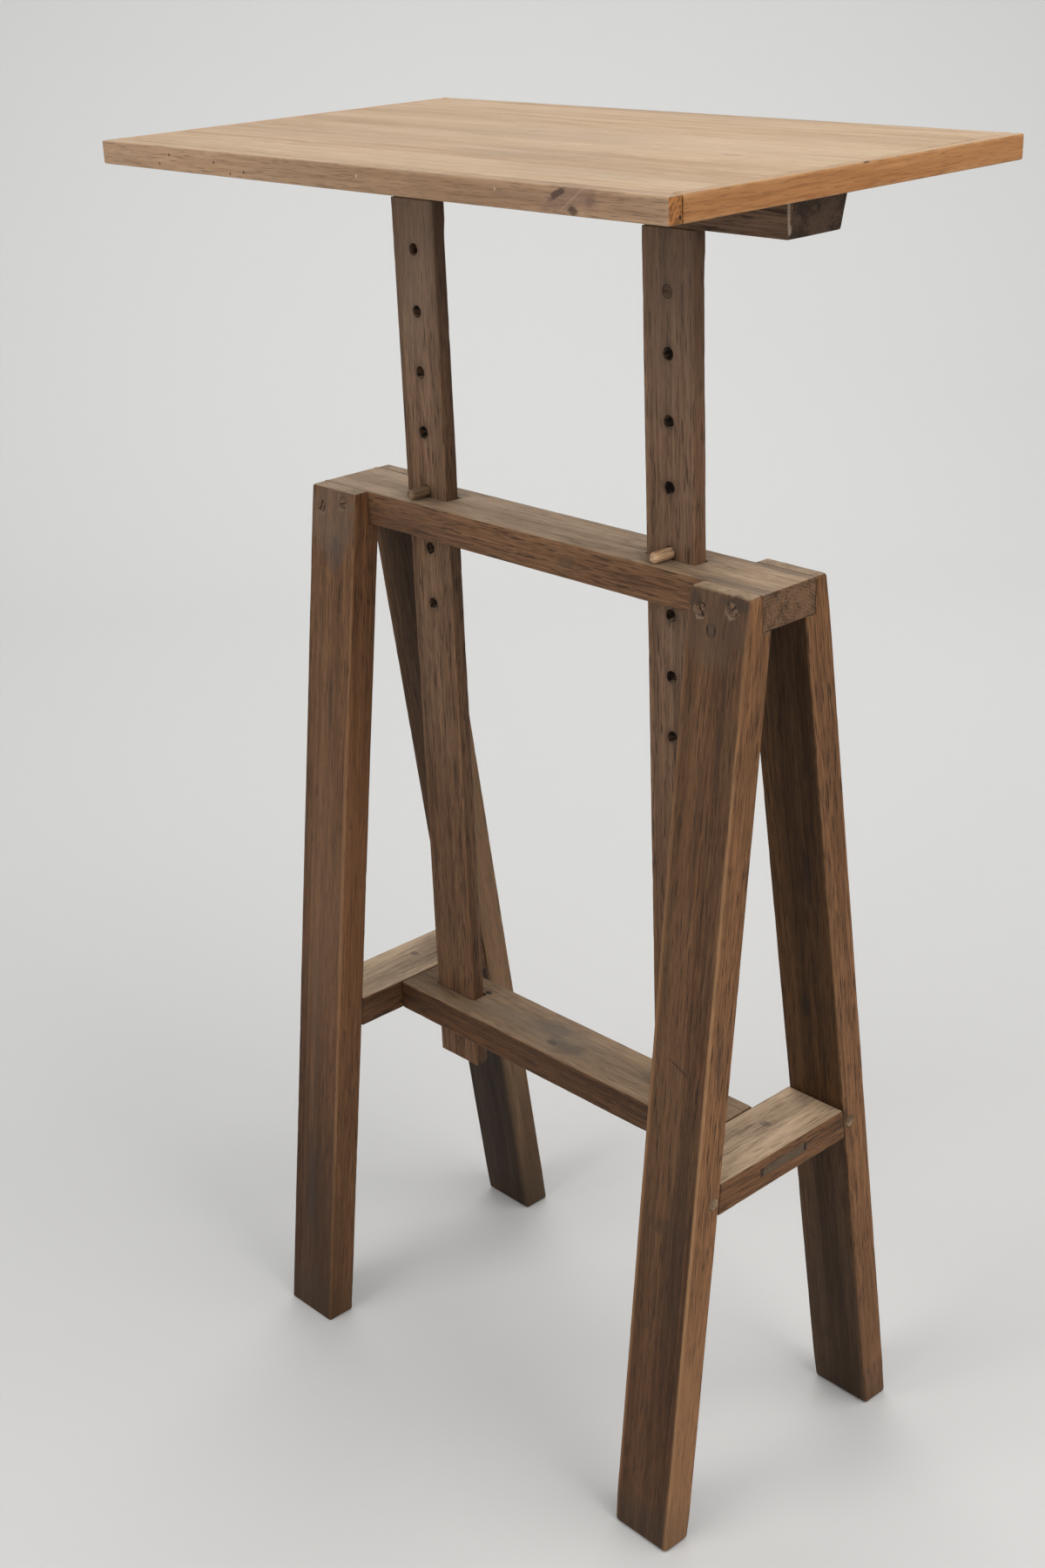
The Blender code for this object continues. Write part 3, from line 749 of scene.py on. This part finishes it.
def leg_board(key, seed):
    """A leg that is cut level at both ends, with rounder edges there."""
    slope = math.tan(LEAN)

    def edge_at(point, radius):
        past_end = abs(point.x) - LEG_LENGTH / 2
        near_end = min(1.0, max(0.0, (past_end + LEG_END_REACH) / LEG_END_REACH))
        return radius * (1 + LEG_END_WEAR[key] * near_end)

    def slant(point):
        return point.x - point.z * slope

    size = (LEG_LENGTH, STOCK_WIDTH, STOCK_THICKNESS)
    return worn_board(key + "_leg_board", size, BOARD_EDGE, seed, edge_at=edge_at, slant=slant)


def leg_cutters(key, side, outward):
    """The lap for the rail, the pin's hole and the screws' countersinks."""
    rail_low, rail_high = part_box("top_rail")
    lap_low = (rail_low.x - OVERSHOOT, rail_low.y - GAP, rail_low.z - GAP)
    lap = box_cutter(lap_low, rail_high + Vector((OVERSHOOT, GAP, OVERSHOOT)))
    pin_low, pin_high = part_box(key + "_leg_pin")
    middle = (pin_low + pin_high) / 2
    start = Vector((pin_low.x - OVERSHOOT, middle.y, middle.z))
    end = Vector((pin_high.x + OVERSHOOT, middle.y, middle.z))
    if side > 0:
        start.x = pin_low.x - GAP
    else:
        end.x = pin_high.x + GAP
    pin = rod_cutter(pin_high.z - pin_low.z + 2 * GAP, start, end)
    screws = [screw_hole(f"{key}_leg_screw_{number}", outward) for number in (1, 2)]
    return [lap, pin, *screws]


def filler_marks(leg, key, outward, aside):
    """Filler in the rim of the two screw holes, a little below each screw's middle."""
    amount = 0.65 if key == "front_right" else 0.25
    to_leg = leg.matrix_world.inverted()
    marks = []
    for number in (1, 2):
        head = to_leg @ screw_head(f"{key}_leg_screw_{number}", outward)
        centre = head + Vector((-0.0012, -0.0006 * aside, 0))
        marks.append((tuple(centre), (0.0064, 0.0062, 0.006), FILLER, amount, 0.12, 0.0))
    return marks


def make_leg(depth_name, side_name, seed):
    side, depth = SIDES[side_name], DEPTHS[depth_name]
    key = f"{depth_name}_{side_name}"
    leg = leg_board(key, seed)
    origin, along, across = leg_frame(side, depth)
    place(leg, origin, along, across)
    outward = along.cross(across)
    shape_with(leg, leg_cutters(key, side, outward))
    inner = (0, -depth * math.cos(LEAN), -math.sin(LEAN))
    right_face_light, inner_face_shade = LEG_PAINTED_LIGHT_AND_SHADE[key]
    foot = ((-LEG_LENGTH / 2, 0, 0), (0.04, 0.06, 0.06), GRIME, 0.5)
    material = wood(
        key + "_leg_wood",
        FRAME_LOOK,
        seed,
        HALF_STOCK,
        pith=(0.02 * side, -0.085),
        # painted light on the right faces and painted shade on the inner faces
        facing_light=[((1, 0, 0), shade(PAINTED_LIGHT_ORANGE, right_face_light), 0.75), (inner, shade(PAINTED_SHADE_BROWN, inner_face_shade), 0.8)],
        marks=[foot] + LEG_MARKS[key] + filler_marks(leg, key, outward, side * depth),
        fade=(LEG_LENGTH * 0.12, -LEG_LENGTH * 0.38, (0.6, 0.52, 0.45)),
    )
    return stand_for(leg, "trestle", key + "_leg", material)


# A countersink: its diameters, its depth, and how far it reaches past the wood
SCREW_HOLE_TIP = 0.0046
SCREW_HOLE_MOUTH = 0.0128
SCREW_HOLE_DEPTH = 0.0052
SCREW_HOLE_RISE = 0.001


def screw_hole(node, outward):
    """A countersink round a screw's head."""
    centre = screw_head(node, outward)
    tip = centre - outward * SCREW_HOLE_DEPTH
    mouth = centre + outward * SCREW_HOLE_RISE
    return rod_cutter(SCREW_HOLE_TIP, tip, mouth, end_diameter=SCREW_HOLE_MOUTH)


def screw_head(node, outward):
    """The middle of a screw's head: its furthest points outward."""
    points = [vertex.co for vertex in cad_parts[node].data.vertices]
    reach = max(point.dot(outward) for point in points)
    rim = [point for point in points if point.dot(outward) > reach - 0.0001]
    return sum(rim, Vector()) / len(rim)


def make_rail():
    low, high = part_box("top_rail")
    leg_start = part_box("front_right_leg")[0].x
    half_width = (high.y - low.y) / 2

    def edge_at(point, radius):
        beside_leg = abs(point.x) > leg_start and abs(point.y) > half_width - 0.003
        return TIGHT_EDGE if beside_leg else radius

    rail = worn_board("top_rail_board", high - low, BOARD_EDGE, 41.0, edge_at=edge_at)
    place(rail, (low + high) / 2)
    shape_with(rail, [post_mortise(side, low.z, high.z) for side in SIDES.values()])
    marks = [
        # stains round the posts, along the legs and on the front
        ((0.1405, -0.002, 0.0145), (0.034, 0.02, 0.004), (0.15, 0.11, 0.078), 0.55),
        ((-0.1405, -0.002, 0.0145), (0.034, 0.02, 0.004), (0.15, 0.11, 0.078), 0.55),
        ((0.222, -0.024, 0.0145), (0.04, 0.007, 0.004), (0.13, 0.098, 0.07), 0.6),
        ((0.222, 0.027, 0.0145), (0.034, 0.006, 0.004), (0.12, 0.086, 0.058), 0.55),
        ((0.05, -0.03, 0.0), (0.01, 0.003, 0.006), (0.06, 0.035, 0.022), 0.5),
        ((-0.19, -0.03, 0.0), (0.11, 0.004, 0.022), (0.08, 0.038, 0.021), 0.45, 0.6),
    ]
    material = wood("top_rail_wood", RAIL_LOOK, 41.0, (0.0295, 0.0145), pith=(-0.02, -0.07), marks=marks)
    return stand_for(rail, "trestle", "top_rail", material)


def post_mortise(side, low, high):
    """The opening that a post slides in, through a rail from low to high."""
    post_low, post_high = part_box("left_post" if side < 0 else "right_post")
    x = (post_low.x + post_high.x) / 2
    half_width = POST_WIDTH / 2 + POST_PLAY
    half_thickness = POST_THICKNESS / 2 + POST_PLAY
    return box_cutter(
        (x - half_width, -half_thickness, low - SHORT_OVERSHOOT),
        (x + half_width, half_thickness, high + SHORT_OVERSHOOT),
    )


# The cross rails' right faces: a lighter orange painted on as painted light, dimmer on the left rail as
# painted shade
CROSS_SIDE_PAINTED_LIGHT = (0.21, 0.095, 0.038)
# The wedge's flare: its thickness inside and outside, and how far it is cut past the rail's face
WEDGE_THIN = 0.0012
WEDGE_THICK = 0.0035
WEDGE_REACH = 0.002


def make_cross_rail(side_name, seed):
    node = side_name + "_cross_rail"
    side = SIDES[side_name]
    low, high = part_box(node)
    x = (low.x + high.x) / 2
    z = (low.z + high.z) / 2
    half_length = leg_outer(z) - STOCK_THICKNESS / math.cos(LEAN) - GAP
    slope = math.tan(LEAN)
    size = (2 * half_length, STOCK_WIDTH, STOCK_THICKNESS)

    def slant(point):
        return point.x * (1 - point.z * slope / half_length)

    rail = worn_board(node + "_board", size, BOARD_EDGE, seed, slant=slant)
    place(rail, (x, 0, z), (0, 1, 0), (-1, 0, 0))
    wedge_low, wedge_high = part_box(side_name + "_front_wedge")
    reach = TENON_WIDTH / 2 + GAP
    through = 2 * OVERSHOOT
    cutters = [
        box_cutter((x - through, -reach, wedge_low.z - GAP), (x + through, reach, wedge_high.z + GAP)),
        wedge_cutter(side, -1, wedge_low, wedge_high),
        wedge_cutter(side, 1, wedge_low, wedge_high),
    ]
    shape_with(rail, cutters)
    marks = [
        ((0.016, 0.004, 0.014), (0.0038, 0.0042, 0.003), (0.085, 0.06, 0.045), 0.6, 0.3),
        ((0.01, -0.026, 0.0), (0.034, 0.01, 0.004), (0.18, 0.11, 0.06), 0.3),
    ]
    # painted light on the right faces, less on the left rail
    facing_light = [((1, 0, 0), shade(CROSS_SIDE_PAINTED_LIGHT, 0.95 if side > 0 else 0.52), 0.7)]
    material = wood(
        node + "_wood", CROSS_LOOK, seed, HALF_STOCK, pith=(0.03, -0.09), facing_light=facing_light, marks=marks
    )
    return stand_for(rail, "trestle", node, material)


def wedge_cutter(side, depth, low, high):
    """The flare of the mortise beside its tenon, which the wedge fills."""
    form = bmesh.new()
    bmesh.ops.create_cube(form, size=2)
    inside = low.x - GAP if side > 0 else high.x + GAP
    outside = high.x + WEDGE_REACH if side > 0 else low.x - WEDGE_REACH
    for vertex in form.verts:
        outer = vertex.co.x > 0
        x = outside if outer else inside
        far = TENON_WIDTH / 2 + (WEDGE_THICK if outer else WEDGE_THIN)
        y = depth * (far if vertex.co.y > 0 else 0.01)
        z = high.z + GAP if vertex.co.z > 0 else low.z - GAP
        vertex.co = Vector((x, y, z))
    bmesh.ops.recalc_face_normals(form, faces=form.faces)
    return cutter_from(form)


def make_stretcher():
    rail_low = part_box("left_cross_rail")[1].x
    low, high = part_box("stretcher")
    half_length = -rail_low - GAP
    size = (2 * half_length, STOCK_WIDTH, high.z - low.z)
    middle = (low + high) / 2
    board = worn_board("stretcher_board", size, BOARD_EDGE, 57.0)
    place(board, middle)
    wedge_low, wedge_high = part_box("right_front_wedge")
    tenon = box_cutter((low.x, -TENON_WIDTH / 2, wedge_low.z), (high.x, TENON_WIDTH / 2, wedge_high.z))
    shape_with(board, [tenon], "UNION")
    shape_with(board, [post_mortise(side, low.z, high.z) for side in SIDES.values()])
    stain = (0.095, 0.075, 0.06)
    marks = [
        # a round stain in the middle, then patches, the right tenon's end, and a painted shadow behind
        # the left post's mortise
        ((-0.01, 0.002, 0.014), (0.052, 0.019, 0.004), (0.225, 0.168, 0.118), 0.55, 0.5),
        ((-0.02, 0.006, 0.014), (0.026, 0.011, 0.004), stain, 0.5, 0.5, 0.0),
        ((0.008, -0.008, 0.014), (0.022, 0.009, 0.004), stain, 0.6, 0.4, 0.0),
        ((0.004, 0.003, 0.014), (0.013, 0.006, 0.004), (0.235, 0.165, 0.1), 0.6, 0.4),
        ((-0.006, -0.012, 0.014), (0.006, 0.003, 0.004), (0.06, 0.042, 0.034), 0.55),
        ((-0.085, -0.006, 0.014), (0.034, 0.012, 0.004), (0.18, 0.132, 0.092), 0.45),
        ((0.112, 0.008, 0.014), (0.026, 0.013, 0.004), (0.12, 0.088, 0.062), 0.6),
        ((0.252, 0.0, 0.0), (0.006, 0.03, 0.008), (0.096, 0.066, 0.04), 0.75, 0.2),
        ((-0.116, 0.0115, 0.014), (0.004, 0.003, 0.004), (0.012, 0.008, 0.006), 0.9, 0.2),
    ]
    material = wood("stretcher_wood", LOW_LOOK, 57.0, HALF_STOCK, pith=(0.01, -0.06), marks=marks)
    return stand_for(board, "trestle", "stretcher", material)


# ---- posts, beam and pegs


# The colour painted on each post's top front: greyer on both, and lighter on the left as painted light
# under the table
POST_TOP_LIGHT_AND_TONE = {"left": (0.2, 0.14, 0.1), "right": (0.122, 0.082, 0.058)}


# The countersink at a peg hole's front: its diameters, and where it starts and ends
MOUTH_DIAMETER = 0.0118
THROAT_DIAMETER = 0.0098
MOUTH_Y = -0.009
THROAT_Y = -0.0062
# A dark rim round each peg hole's mouth, and the near-black painted shade inside the hole
HOLE_RIM = (0.046, 0.029, 0.019)
HOLE_PAINTED_SHADE = (0.008, 0.006, 0.004)


def hole_heights(side_name, holes):
    """The peg holes' heights, and the plugged one's in the right post."""
    heights = [PEG_HEIGHT + number * PEG_PITCH for number in holes]
    if side_name == "right":
        plug_low, plug_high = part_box("post_hole_plug")
        heights.append((plug_low.z + plug_high.z) / 2)
    return heights


def hole_cutters(x, heights):
    cutters = []
    for z in heights:
        cutters.append(rod_cutter(PEG_HOLE, (x, -OVERSHOOT, z), (x, OVERSHOOT, z)))
        mouth, throat = (x, MOUTH_Y, z), (x, THROAT_Y, z)
        cutters.append(rod_cutter(MOUTH_DIAMETER, mouth, throat, end_diameter=THROAT_DIAMETER))
    return cutters


def post_marks(side_name, heights, middle, length):
    """Dark rims round the holes with painted shade inside them, painted shade on the right face near the
    top, and the top's front painted greyer, on the left lighter as painted light.
    """
    front = -0.007
    marks = []
    for height in heights:
        z = height - middle
        marks.append(((z, 0.0, front), (0.0085, 0.008, 0.003), HOLE_RIM, 0.4, 0.5))
        # painted shade inside the hole
        marks.append(((z, 0.0, 0.0), (0.0054, 0.0054, 0.02), HOLE_PAINTED_SHADE, 0.92, 0.12))
    top = length / 2
    # painted shade on the right face and edge near the top, under the table
    marks.append(((top, 0.026, 0.0), (0.12, 0.006, 0.02), (0.06, 0.036, 0.022), 0.4, 0.6))
    # the top's front painted greyer, and on the left post lighter as painted light
    marks.append(((top, 0.0, front), (0.13, 0.035, 0.003), POST_TOP_LIGHT_AND_TONE[side_name], 0.45, 0.6))
    return marks


def make_post(side_name, holes, seed):
    node = side_name + "_post"
    low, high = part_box(node)
    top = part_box("beam")[0].z - GAP
    length = top - low.z
    middle = low.z + length / 2
    x = (low.x + high.x) / 2

    def edge_at(point, radius):
        near_top = min(1.0, max(0.0, (length / 2 - 0.016 - point.x) / 0.01))
        behind_right = point.y > 0 and point.z > 0
        return radius * (0.8 + near_top * (1.8 if behind_right else 0.2))

    size = (length, POST_WIDTH, POST_THICKNESS)
    post = worn_board(node + "_board", size, POST_EDGE, seed, edge_at=edge_at, ripple=0.0001)
    place(post, (x, 0, middle), (0, 0, 1), (1, 0, 0))
    heights = hole_heights(side_name, holes)
    shape_with(post, hole_cutters(x, heights))
    material = wood(
        node + "_wood",
        POST_LOOK,
        seed,
        (0.025, 0.007),
        pith=(0.01, -0.07),
        # painted shade: the right faces a darker, warmer copy of the wood
        facing_light=[((1, 0, 0), (0.13, 0.065, 0.031), 0.8)],
        marks=post_marks(side_name, heights, middle, length),
        fade=(length * 0.1, -length * 0.35, (0.96, 0.87, 0.78)),
    )
    return stand_for(post, "carriage", node, material)


# How far each end of the beam is cut back at its underside
UNDERCUT = 0.0075


def make_beam():
    low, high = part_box("beam")
    half_length = (high.x - low.x - UNDERCUT) / 2
    half_height = (high.z - low.z) / 2
    size = (2 * half_length, high.y - low.y, high.z - low.z)

    def slant(point):
        return point.x * (1 + UNDERCUT / 2 * point.z / half_height / half_length)

    beam = worn_board("beam_board", size, BEAM_EDGE, 23.0, slant=slant)
    place(beam, (low + high) / 2)
    cutters = []
    for side_name in SIDES:
        pin_low, pin_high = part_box(side_name + "_beam_pin")
        middle = (pin_low + pin_high) / 2
        start = (middle.x, pin_low.y - SHORT_OVERSHOOT, middle.z)
        end = (middle.x, pin_high.y + GAP, middle.z)
        cutters.append(rod_cutter(pin_high.z - pin_low.z + 2 * GAP, start, end))
    for number in range(1, 5):
        cutters.append(screw_hole(f"beam_screw_{number}", Vector((0, 0, -1))))
    shape_with(beam, cutters)
    half_width = (high.y - low.y) / 2
    marks = [((0.2535, -half_width, 0.0), (0.0012, 0.004, 0.015), (0.42, 0.33, 0.25), 0.8)]
    # painted shade on the right end and on the underside
    facing_light = [((1, 0, 0), (0.042, 0.024, 0.013), 0.8), ((0, 0, -1), (0.055, 0.033, 0.021), 0.6)]
    half_size = (half_width, half_height)
    material = wood(
        "beam_wood", BEAM_LOOK, 23.0, half_size, pith=(0.03, -0.09), facing_light=facing_light, marks=marks
    )
    return stand_for(beam, "carriage", "beam", material)


# A peg's chamfer, the rings of points near each end, the steps between them and its sides
PEG_CHAMFER = 0.0011
CHAMFER_REACH = 0.0016
CHAMFER_RINGS = (0.0, 0.0004, 0.0012, 0.002)
PEG_RINGS = 18
PEG_SIDES = 40
# Half the angle of one of the eight flats that the peg was whittled with
HALF_FLAT = math.pi / 8


def peg_stations(length):
    """Where along its length a peg has a ring of points."""
    start = CHAMFER_RINGS[-1]
    stations = list(CHAMFER_RINGS)
    stations += [start + (length - 2 * start) * step / PEG_RINGS for step in range(1, PEG_RINGS)]
    stations += [length - inwards for inwards in reversed(CHAMFER_RINGS)]
    return stations


def peg_ring(radius, station, length, seed):
    """One ring of a peg's points, a little flat in eight places."""
    from_end = min(station, length - station)
    inset = PEG_CHAMFER * max(0.0, 1 - from_end / CHAMFER_REACH) ** 1.4
    ring = []
    for index in range(PEG_SIDES):
        angle = 2 * math.pi * index / PEG_SIDES
        spot = Vector((math.cos(angle), math.sin(angle), station * 40 + seed))
        from_flat = (angle + seed) % (2 * HALF_FLAT) - HALF_FLAT
        flat = min(1.0, math.cos(HALF_FLAT) / math.cos(from_flat) * 1.02)
        size = radius * (flat - 0.03 * (0.5 + 0.5 * noise.noise(spot * 2))) - inset
        ring.append((station - length / 2, size * math.cos(angle), size * math.sin(angle)))
    return ring


def whittled_dowel(name, radius, length, seed):
    form = bmesh.new()
    rows = []
    for station in peg_stations(length):
        ring = peg_ring(radius, station, length, seed)
        rows.append([form.verts.new(point) for point in ring])
    for first, second in zip(rows, rows[1:]):
        for index in range(PEG_SIDES):
            after = (index + 1) % PEG_SIDES
            form.faces.new((first[index], first[after], second[after], second[index]))
    form.faces.new(list(reversed(rows[0])))
    form.faces.new(rows[-1])
    bmesh.ops.recalc_face_normals(form, faces=form.faces)
    mesh = bpy.data.meshes.new(name)
    form.to_mesh(mesh)
    form.free()
    mesh.shade_smooth()
    mesh.set_sharp_from_angle(angle=math.radians(50))
    return add_object(name, mesh)


def make_peg(side_name, seed, peg_painted_light):
    """A whittled dowel with a chamfered front end, its wood made lighter or darker as painted light and
    shade.
    """
    node = side_name + "_peg"
    low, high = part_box(node)
    peg = whittled_dowel(node + "_dowel", (high.z - low.z) / 2, high.y - low.y, seed)
    place(peg, (low + high) / 2, (0, -1, 0), (1, 0, 0))
    material = wood(node + "_wood", dimmed(PEG_LOOK, peg_painted_light), seed, pith=(0.01, 0.012), ring=0.0016)
    return stand_for(peg, side_name + "_peg", node, material)


# ---- top


def make_panel():
    low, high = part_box("top_panel")
    panel = worn_board("top_panel_board", high - low, PANEL_EDGE, 71.0, step=0.011, ripple=0.00018)
    place(panel, (low + high) / 2)
    top = (high.z - low.z) / 2
    grey = (0.33, 0.25, 0.175)
    # two small stains, then the greyed lengths
    marks = [
        ((0.205, -0.011, top), (0.01, 0.0035, 0.004), (0.33, 0.225, 0.14), 0.6),
        ((-0.029, 0.03, top), (0.008, 0.004, 0.004), (0.35, 0.25, 0.165), 0.5),
        ((0.07, -0.07, top), (0.08, 0.03, 0.004), grey, 0.3),
        ((-0.01, 0.01, top), (0.12, 0.03, 0.004), grey, 0.22),
        ((0.18, -0.13, top), (0.07, 0.016, 0.004), grey, 0.2),
        ((-0.16, -0.06, top), (0.11, 0.024, 0.004), grey, 0.16),
    ]
    material = wood("top_panel_wood", TOP_LOOK, 71.0, pith=(0.02, -0.2), ring=0.0075, marks=marks)
    return stand_for(panel, "carriage", "top_panel", material)


# Each lipping's length and width axes, its wood, the side that is outside, and its seed
LIPPINGS = {
    "front": ((1, 0, 0), (0, 1, 0), FRONT_LOOK, -1, 81.0),
    "back": ((1, 0, 0), (0, 1, 0), FRONT_LOOK, 1, 83.0),
    "left": ((0, 1, 0), (-1, 0, 0), SIDE_LOOK, 1, 85.0),
    "right": ((0, 1, 0), (-1, 0, 0), SIDE_LOOK, -1, 87.0),
}
RUSTY_WOOD = (0.215, 0.13, 0.088)
NAIL_DOT = (0.05, 0.03, 0.02)
PALE_FLECK = (0.7, 0.56, 0.43)
# Marks on the front face: x, z, half length, half height, then what every mark ends with
FRONT_FACE_MARKS = [
    (0.03, 0.0, 0.15, 0.02, (0.232, 0.136, 0.072), 0.4, 0.6),
    # the knot near the right end and what surrounds it
    (0.219, 0.001, 0.018, 0.009, (0.19, 0.115, 0.085), 0.6, 0.4, 1.4),
    (0.212, 0.004, 0.005, 0.0045, (0.08, 0.042, 0.034), 0.9, 0.25, 1.4),
    (0.2245, 0.001, 0.0011, 0.01, (0.4, 0.265, 0.175), 0.42, 0.3, 1.4),
    (0.241, 0.0015, 0.0042, 0.0036, (0.13, 0.07, 0.05), 0.75, 0.4, 0.3),
    (0.241, 0.0015, 0.0085, 0.0065, RUSTY_WOOD, 0.5, 0.4, 0.3),
    (0.226, -0.0055, 0.004, 0.003, (0.06, 0.032, 0.022), 0.8, 0.4, -0.4),
    (0.175, 0.0, 0.026, 0.0022, RUSTY_WOOD, 0.4, 0.4, 2.0),
    # nail dots
    (-0.157, 0.001, 0.001, 0.0012, NAIL_DOT, 0.9),
    (-0.215, 0.003, 0.001, 0.0012, NAIL_DOT, 0.9),
    (-0.229, -0.004, 0.001, 0.001, NAIL_DOT, 0.9),
    (-0.12, -0.004, 0.001, 0.0012, NAIL_DOT, 0.9),
    (-0.137, -0.006, 0.001, 0.001, NAIL_DOT, 0.9),
    # pale flecks
    (0.012, 0.002, 0.0005, 0.0014, PALE_FLECK, 0.8),
    (0.154, 0.003, 0.0005, 0.0012, PALE_FLECK, 0.7),
]
LIPPING_MARKS = {
    "front": [
        *(((x, -0.0065, z), (long, 0.003, high), *rest) for x, z, long, high, *rest in FRONT_FACE_MARKS),
        ((0.306, 0.004, -0.0045), (0.004, 0.0016, 0.0016), (0.012, 0.008, 0.006), 0.95, 0.2),
    ],
    "right": [
        ((0.0, -0.0045, 0.009), (0.004, 0.002, 0.0012), (0.06, 0.035, 0.022), 0.8),
        ((0.095, 0.004, 0.009), (0.045, 0.0009, 0.003), (0.12, 0.08, 0.05), 0.8),
    ],
    "left": [],
    "back": [],
}


def make_lipping(key):
    along, across, look, outer, seed = LIPPINGS[key]
    node = key + "_lipping"
    low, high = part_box(node)
    spans = high - low
    size = (spans.x, spans.y, spans.z) if along[0] else (spans.y, spans.x, spans.z)

    def edge_at(point, radius):
        at_end = abs(point.x) > size[0] / 2 - 0.006
        return radius if point.y * outer > 0 or at_end else radius * 0.2

    board = worn_board(
        node + "_board", size, LIPPING_EDGE, seed, step=0.005, edge_at=edge_at, ripple=0.0002
    )
    place(board, (low + high) / 2, along, across)
    material = wood(
        node + "_wood",
        look,
        seed,
        (size[1] / 2, size[2] / 2),
        pith=(0.03, -0.022),
        ring=0.003,
        marks=LIPPING_MARKS[key],
    )
    return stand_for(board, "carriage", node, material)


# ---- fixings kept from the CAD


def dress(node, material):
    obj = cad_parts[node]
    obj.data.materials.clear()
    obj.data.materials.append(material)


def dress_fixings():
    pin = wood("leg_pin_wood", dimmed(PEG_LOOK, 0.66), 91.0, pith=(0.0, 0.3), ring=0.0015)
    plug = wood("plug_wood", dimmed(POST_LOOK, 0.48), 92.0, ring=0.0015)
    # the wedges are made near-black, a painted shadow for the gaps beside the tenons
    wedge = wood("wedge_painted_shadow", dimmed(PEG_LOOK, 0.11), 93.0, ring=0.0015)
    for seed, node in enumerate(sorted(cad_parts)):
        if "_screw_" in node:
            dress(node, rusty_steel(node + "_rust", 100.0 + seed * 3.1))
        elif node.endswith("_pin"):
            dress(node, pin)
        elif node.endswith("_wedge"):
            dress(node, wedge)
        elif node == "post_hole_plug":
            dress(node, plug)


# ---- studio


# Where the floor begins to curve up, behind the stand, and how wide the curve is
SWEEP_START = 2.25
SWEEP_RADIUS = 1.2


def make_stage():
    """A pale floor that sweeps up into a backdrop behind the stand."""
    material = bpy.data.materials.new("studio_paper")
    material.use_nodes = True
    shader = material.node_tree.nodes["Principled BSDF"]
    shader.inputs["Base Color"].default_value = (0.635, 0.63, 0.618, 1.0)
    shader.inputs["Roughness"].default_value = 0.9
    profile = [(-5.0, 0.0), (SWEEP_START, 0.0)]
    for step in range(1, 17):
        angle = math.pi / 2 * step / 16
        rise = SWEEP_RADIUS * (1 - math.cos(angle))
        profile.append((SWEEP_START + SWEEP_RADIUS * math.sin(angle), rise))
    profile.append((SWEEP_START + SWEEP_RADIUS, 5.0))
    mesh = bpy.data.meshes.new("studio_sweep")
    points = [(x, y, z) for y, z in profile for x in (-7.0, 7.0)]
    faces = [(2 * i, 2 * i + 1, 2 * i + 3, 2 * i + 2) for i in range(len(profile) - 1)]
    mesh.from_pydata(points, [], faces)
    mesh.shade_smooth()
    mesh.materials.append(material)
    sweep = add_object("studio_sweep", mesh)
    sweep.rotation_euler.z = math.radians(CAMERA_TURN)


def add_light(name, place_at, target, size, power, tint):
    light = bpy.data.lights.new(name, "AREA")
    light.shape = "DISK"
    light.size = size
    light.energy = power
    light.color = tint
    lamp = add_object(name, light)
    lamp.location = place_at
    lamp.rotation_euler = (Vector(target) - Vector(place_at)).to_track_quat("-Z", "Y").to_euler()


# Each light's name, place, target, width, power and tint
LIGHTS = [
    ("key_light", (-0.5, -3.3, 2.1), (0, 0, 0.75), 2.6, 60, (1.0, 0.985, 0.96)),
    ("top_light", (1.5, 0.3, 3.2), (0, 0, 0.7), 2.2, 38, (1.0, 0.98, 0.95)),
    ("side_light", (3.0, -0.2, 1.7), (0, 0, 0.5), 1.6, 20, (1.0, 0.97, 0.93)),
    ("back_light", (-1.85, 1.6, 3.6), (-2.1, 3.05, 1.2), 2.6, 52, (1.0, 1.0, 1.0)),
    ("fill_light", (-1.0, 2.2, 1.7), (0, 0, 0.6), 1.4, 3, (1.0, 1.0, 1.0)),
]


def make_studio():
    world = bpy.data.worlds.new("studio_world")
    bpy.context.scene.world = world
    world.use_nodes = True
    sky = world.node_tree.nodes["Background"]
    sky.inputs["Color"].default_value = (0.93, 0.96, 1.0, 1.0)
    sky.inputs["Strength"].default_value = 0.47
    for light in LIGHTS:
        add_light(*light)


def make_camera():
    data = bpy.data.cameras.new("camera")
    data.sensor_fit = "VERTICAL"
    data.sensor_height = 36.0
    data.lens = CAMERA_LENS
    data.clip_end = 50.0
    camera = add_object("camera", data)
    turn = Euler((math.radians(90 - CAMERA_PITCH), 0, math.radians(CAMERA_TURN))).to_matrix()
    roll = Matrix.Rotation(math.radians(CAMERA_ROLL), 3, "Z")
    camera.matrix_world = Matrix.Translation(CAMERA_PLACE) @ (turn @ roll).to_4x4()
    bpy.context.scene.camera = camera


def main():
    bpy.context.scene.view_settings.view_transform = "Standard"
    make_camera()
    make_rail()
    for seed, (depth_name, side_name) in enumerate((d, s) for d in DEPTHS for s in SIDES):
        make_leg(depth_name, side_name, 3.0 + 6.0 * seed)
    make_cross_rail("left", 31.0)
    make_cross_rail("right", 37.0)
    make_stretcher()
    make_post("left", range(-2, 5), 13.0)
    make_post("right", range(-3, 4), 17.0)
    make_beam()
    # the left peg's wood darker as painted shade, the right's lighter as painted light
    make_peg("left", 5.0, 0.54)
    make_peg("right", 8.0, 1.38)
    make_panel()
    for key in LIPPINGS:
        make_lipping(key)
    dress_fixings()
    make_stage()
    make_studio()


main()
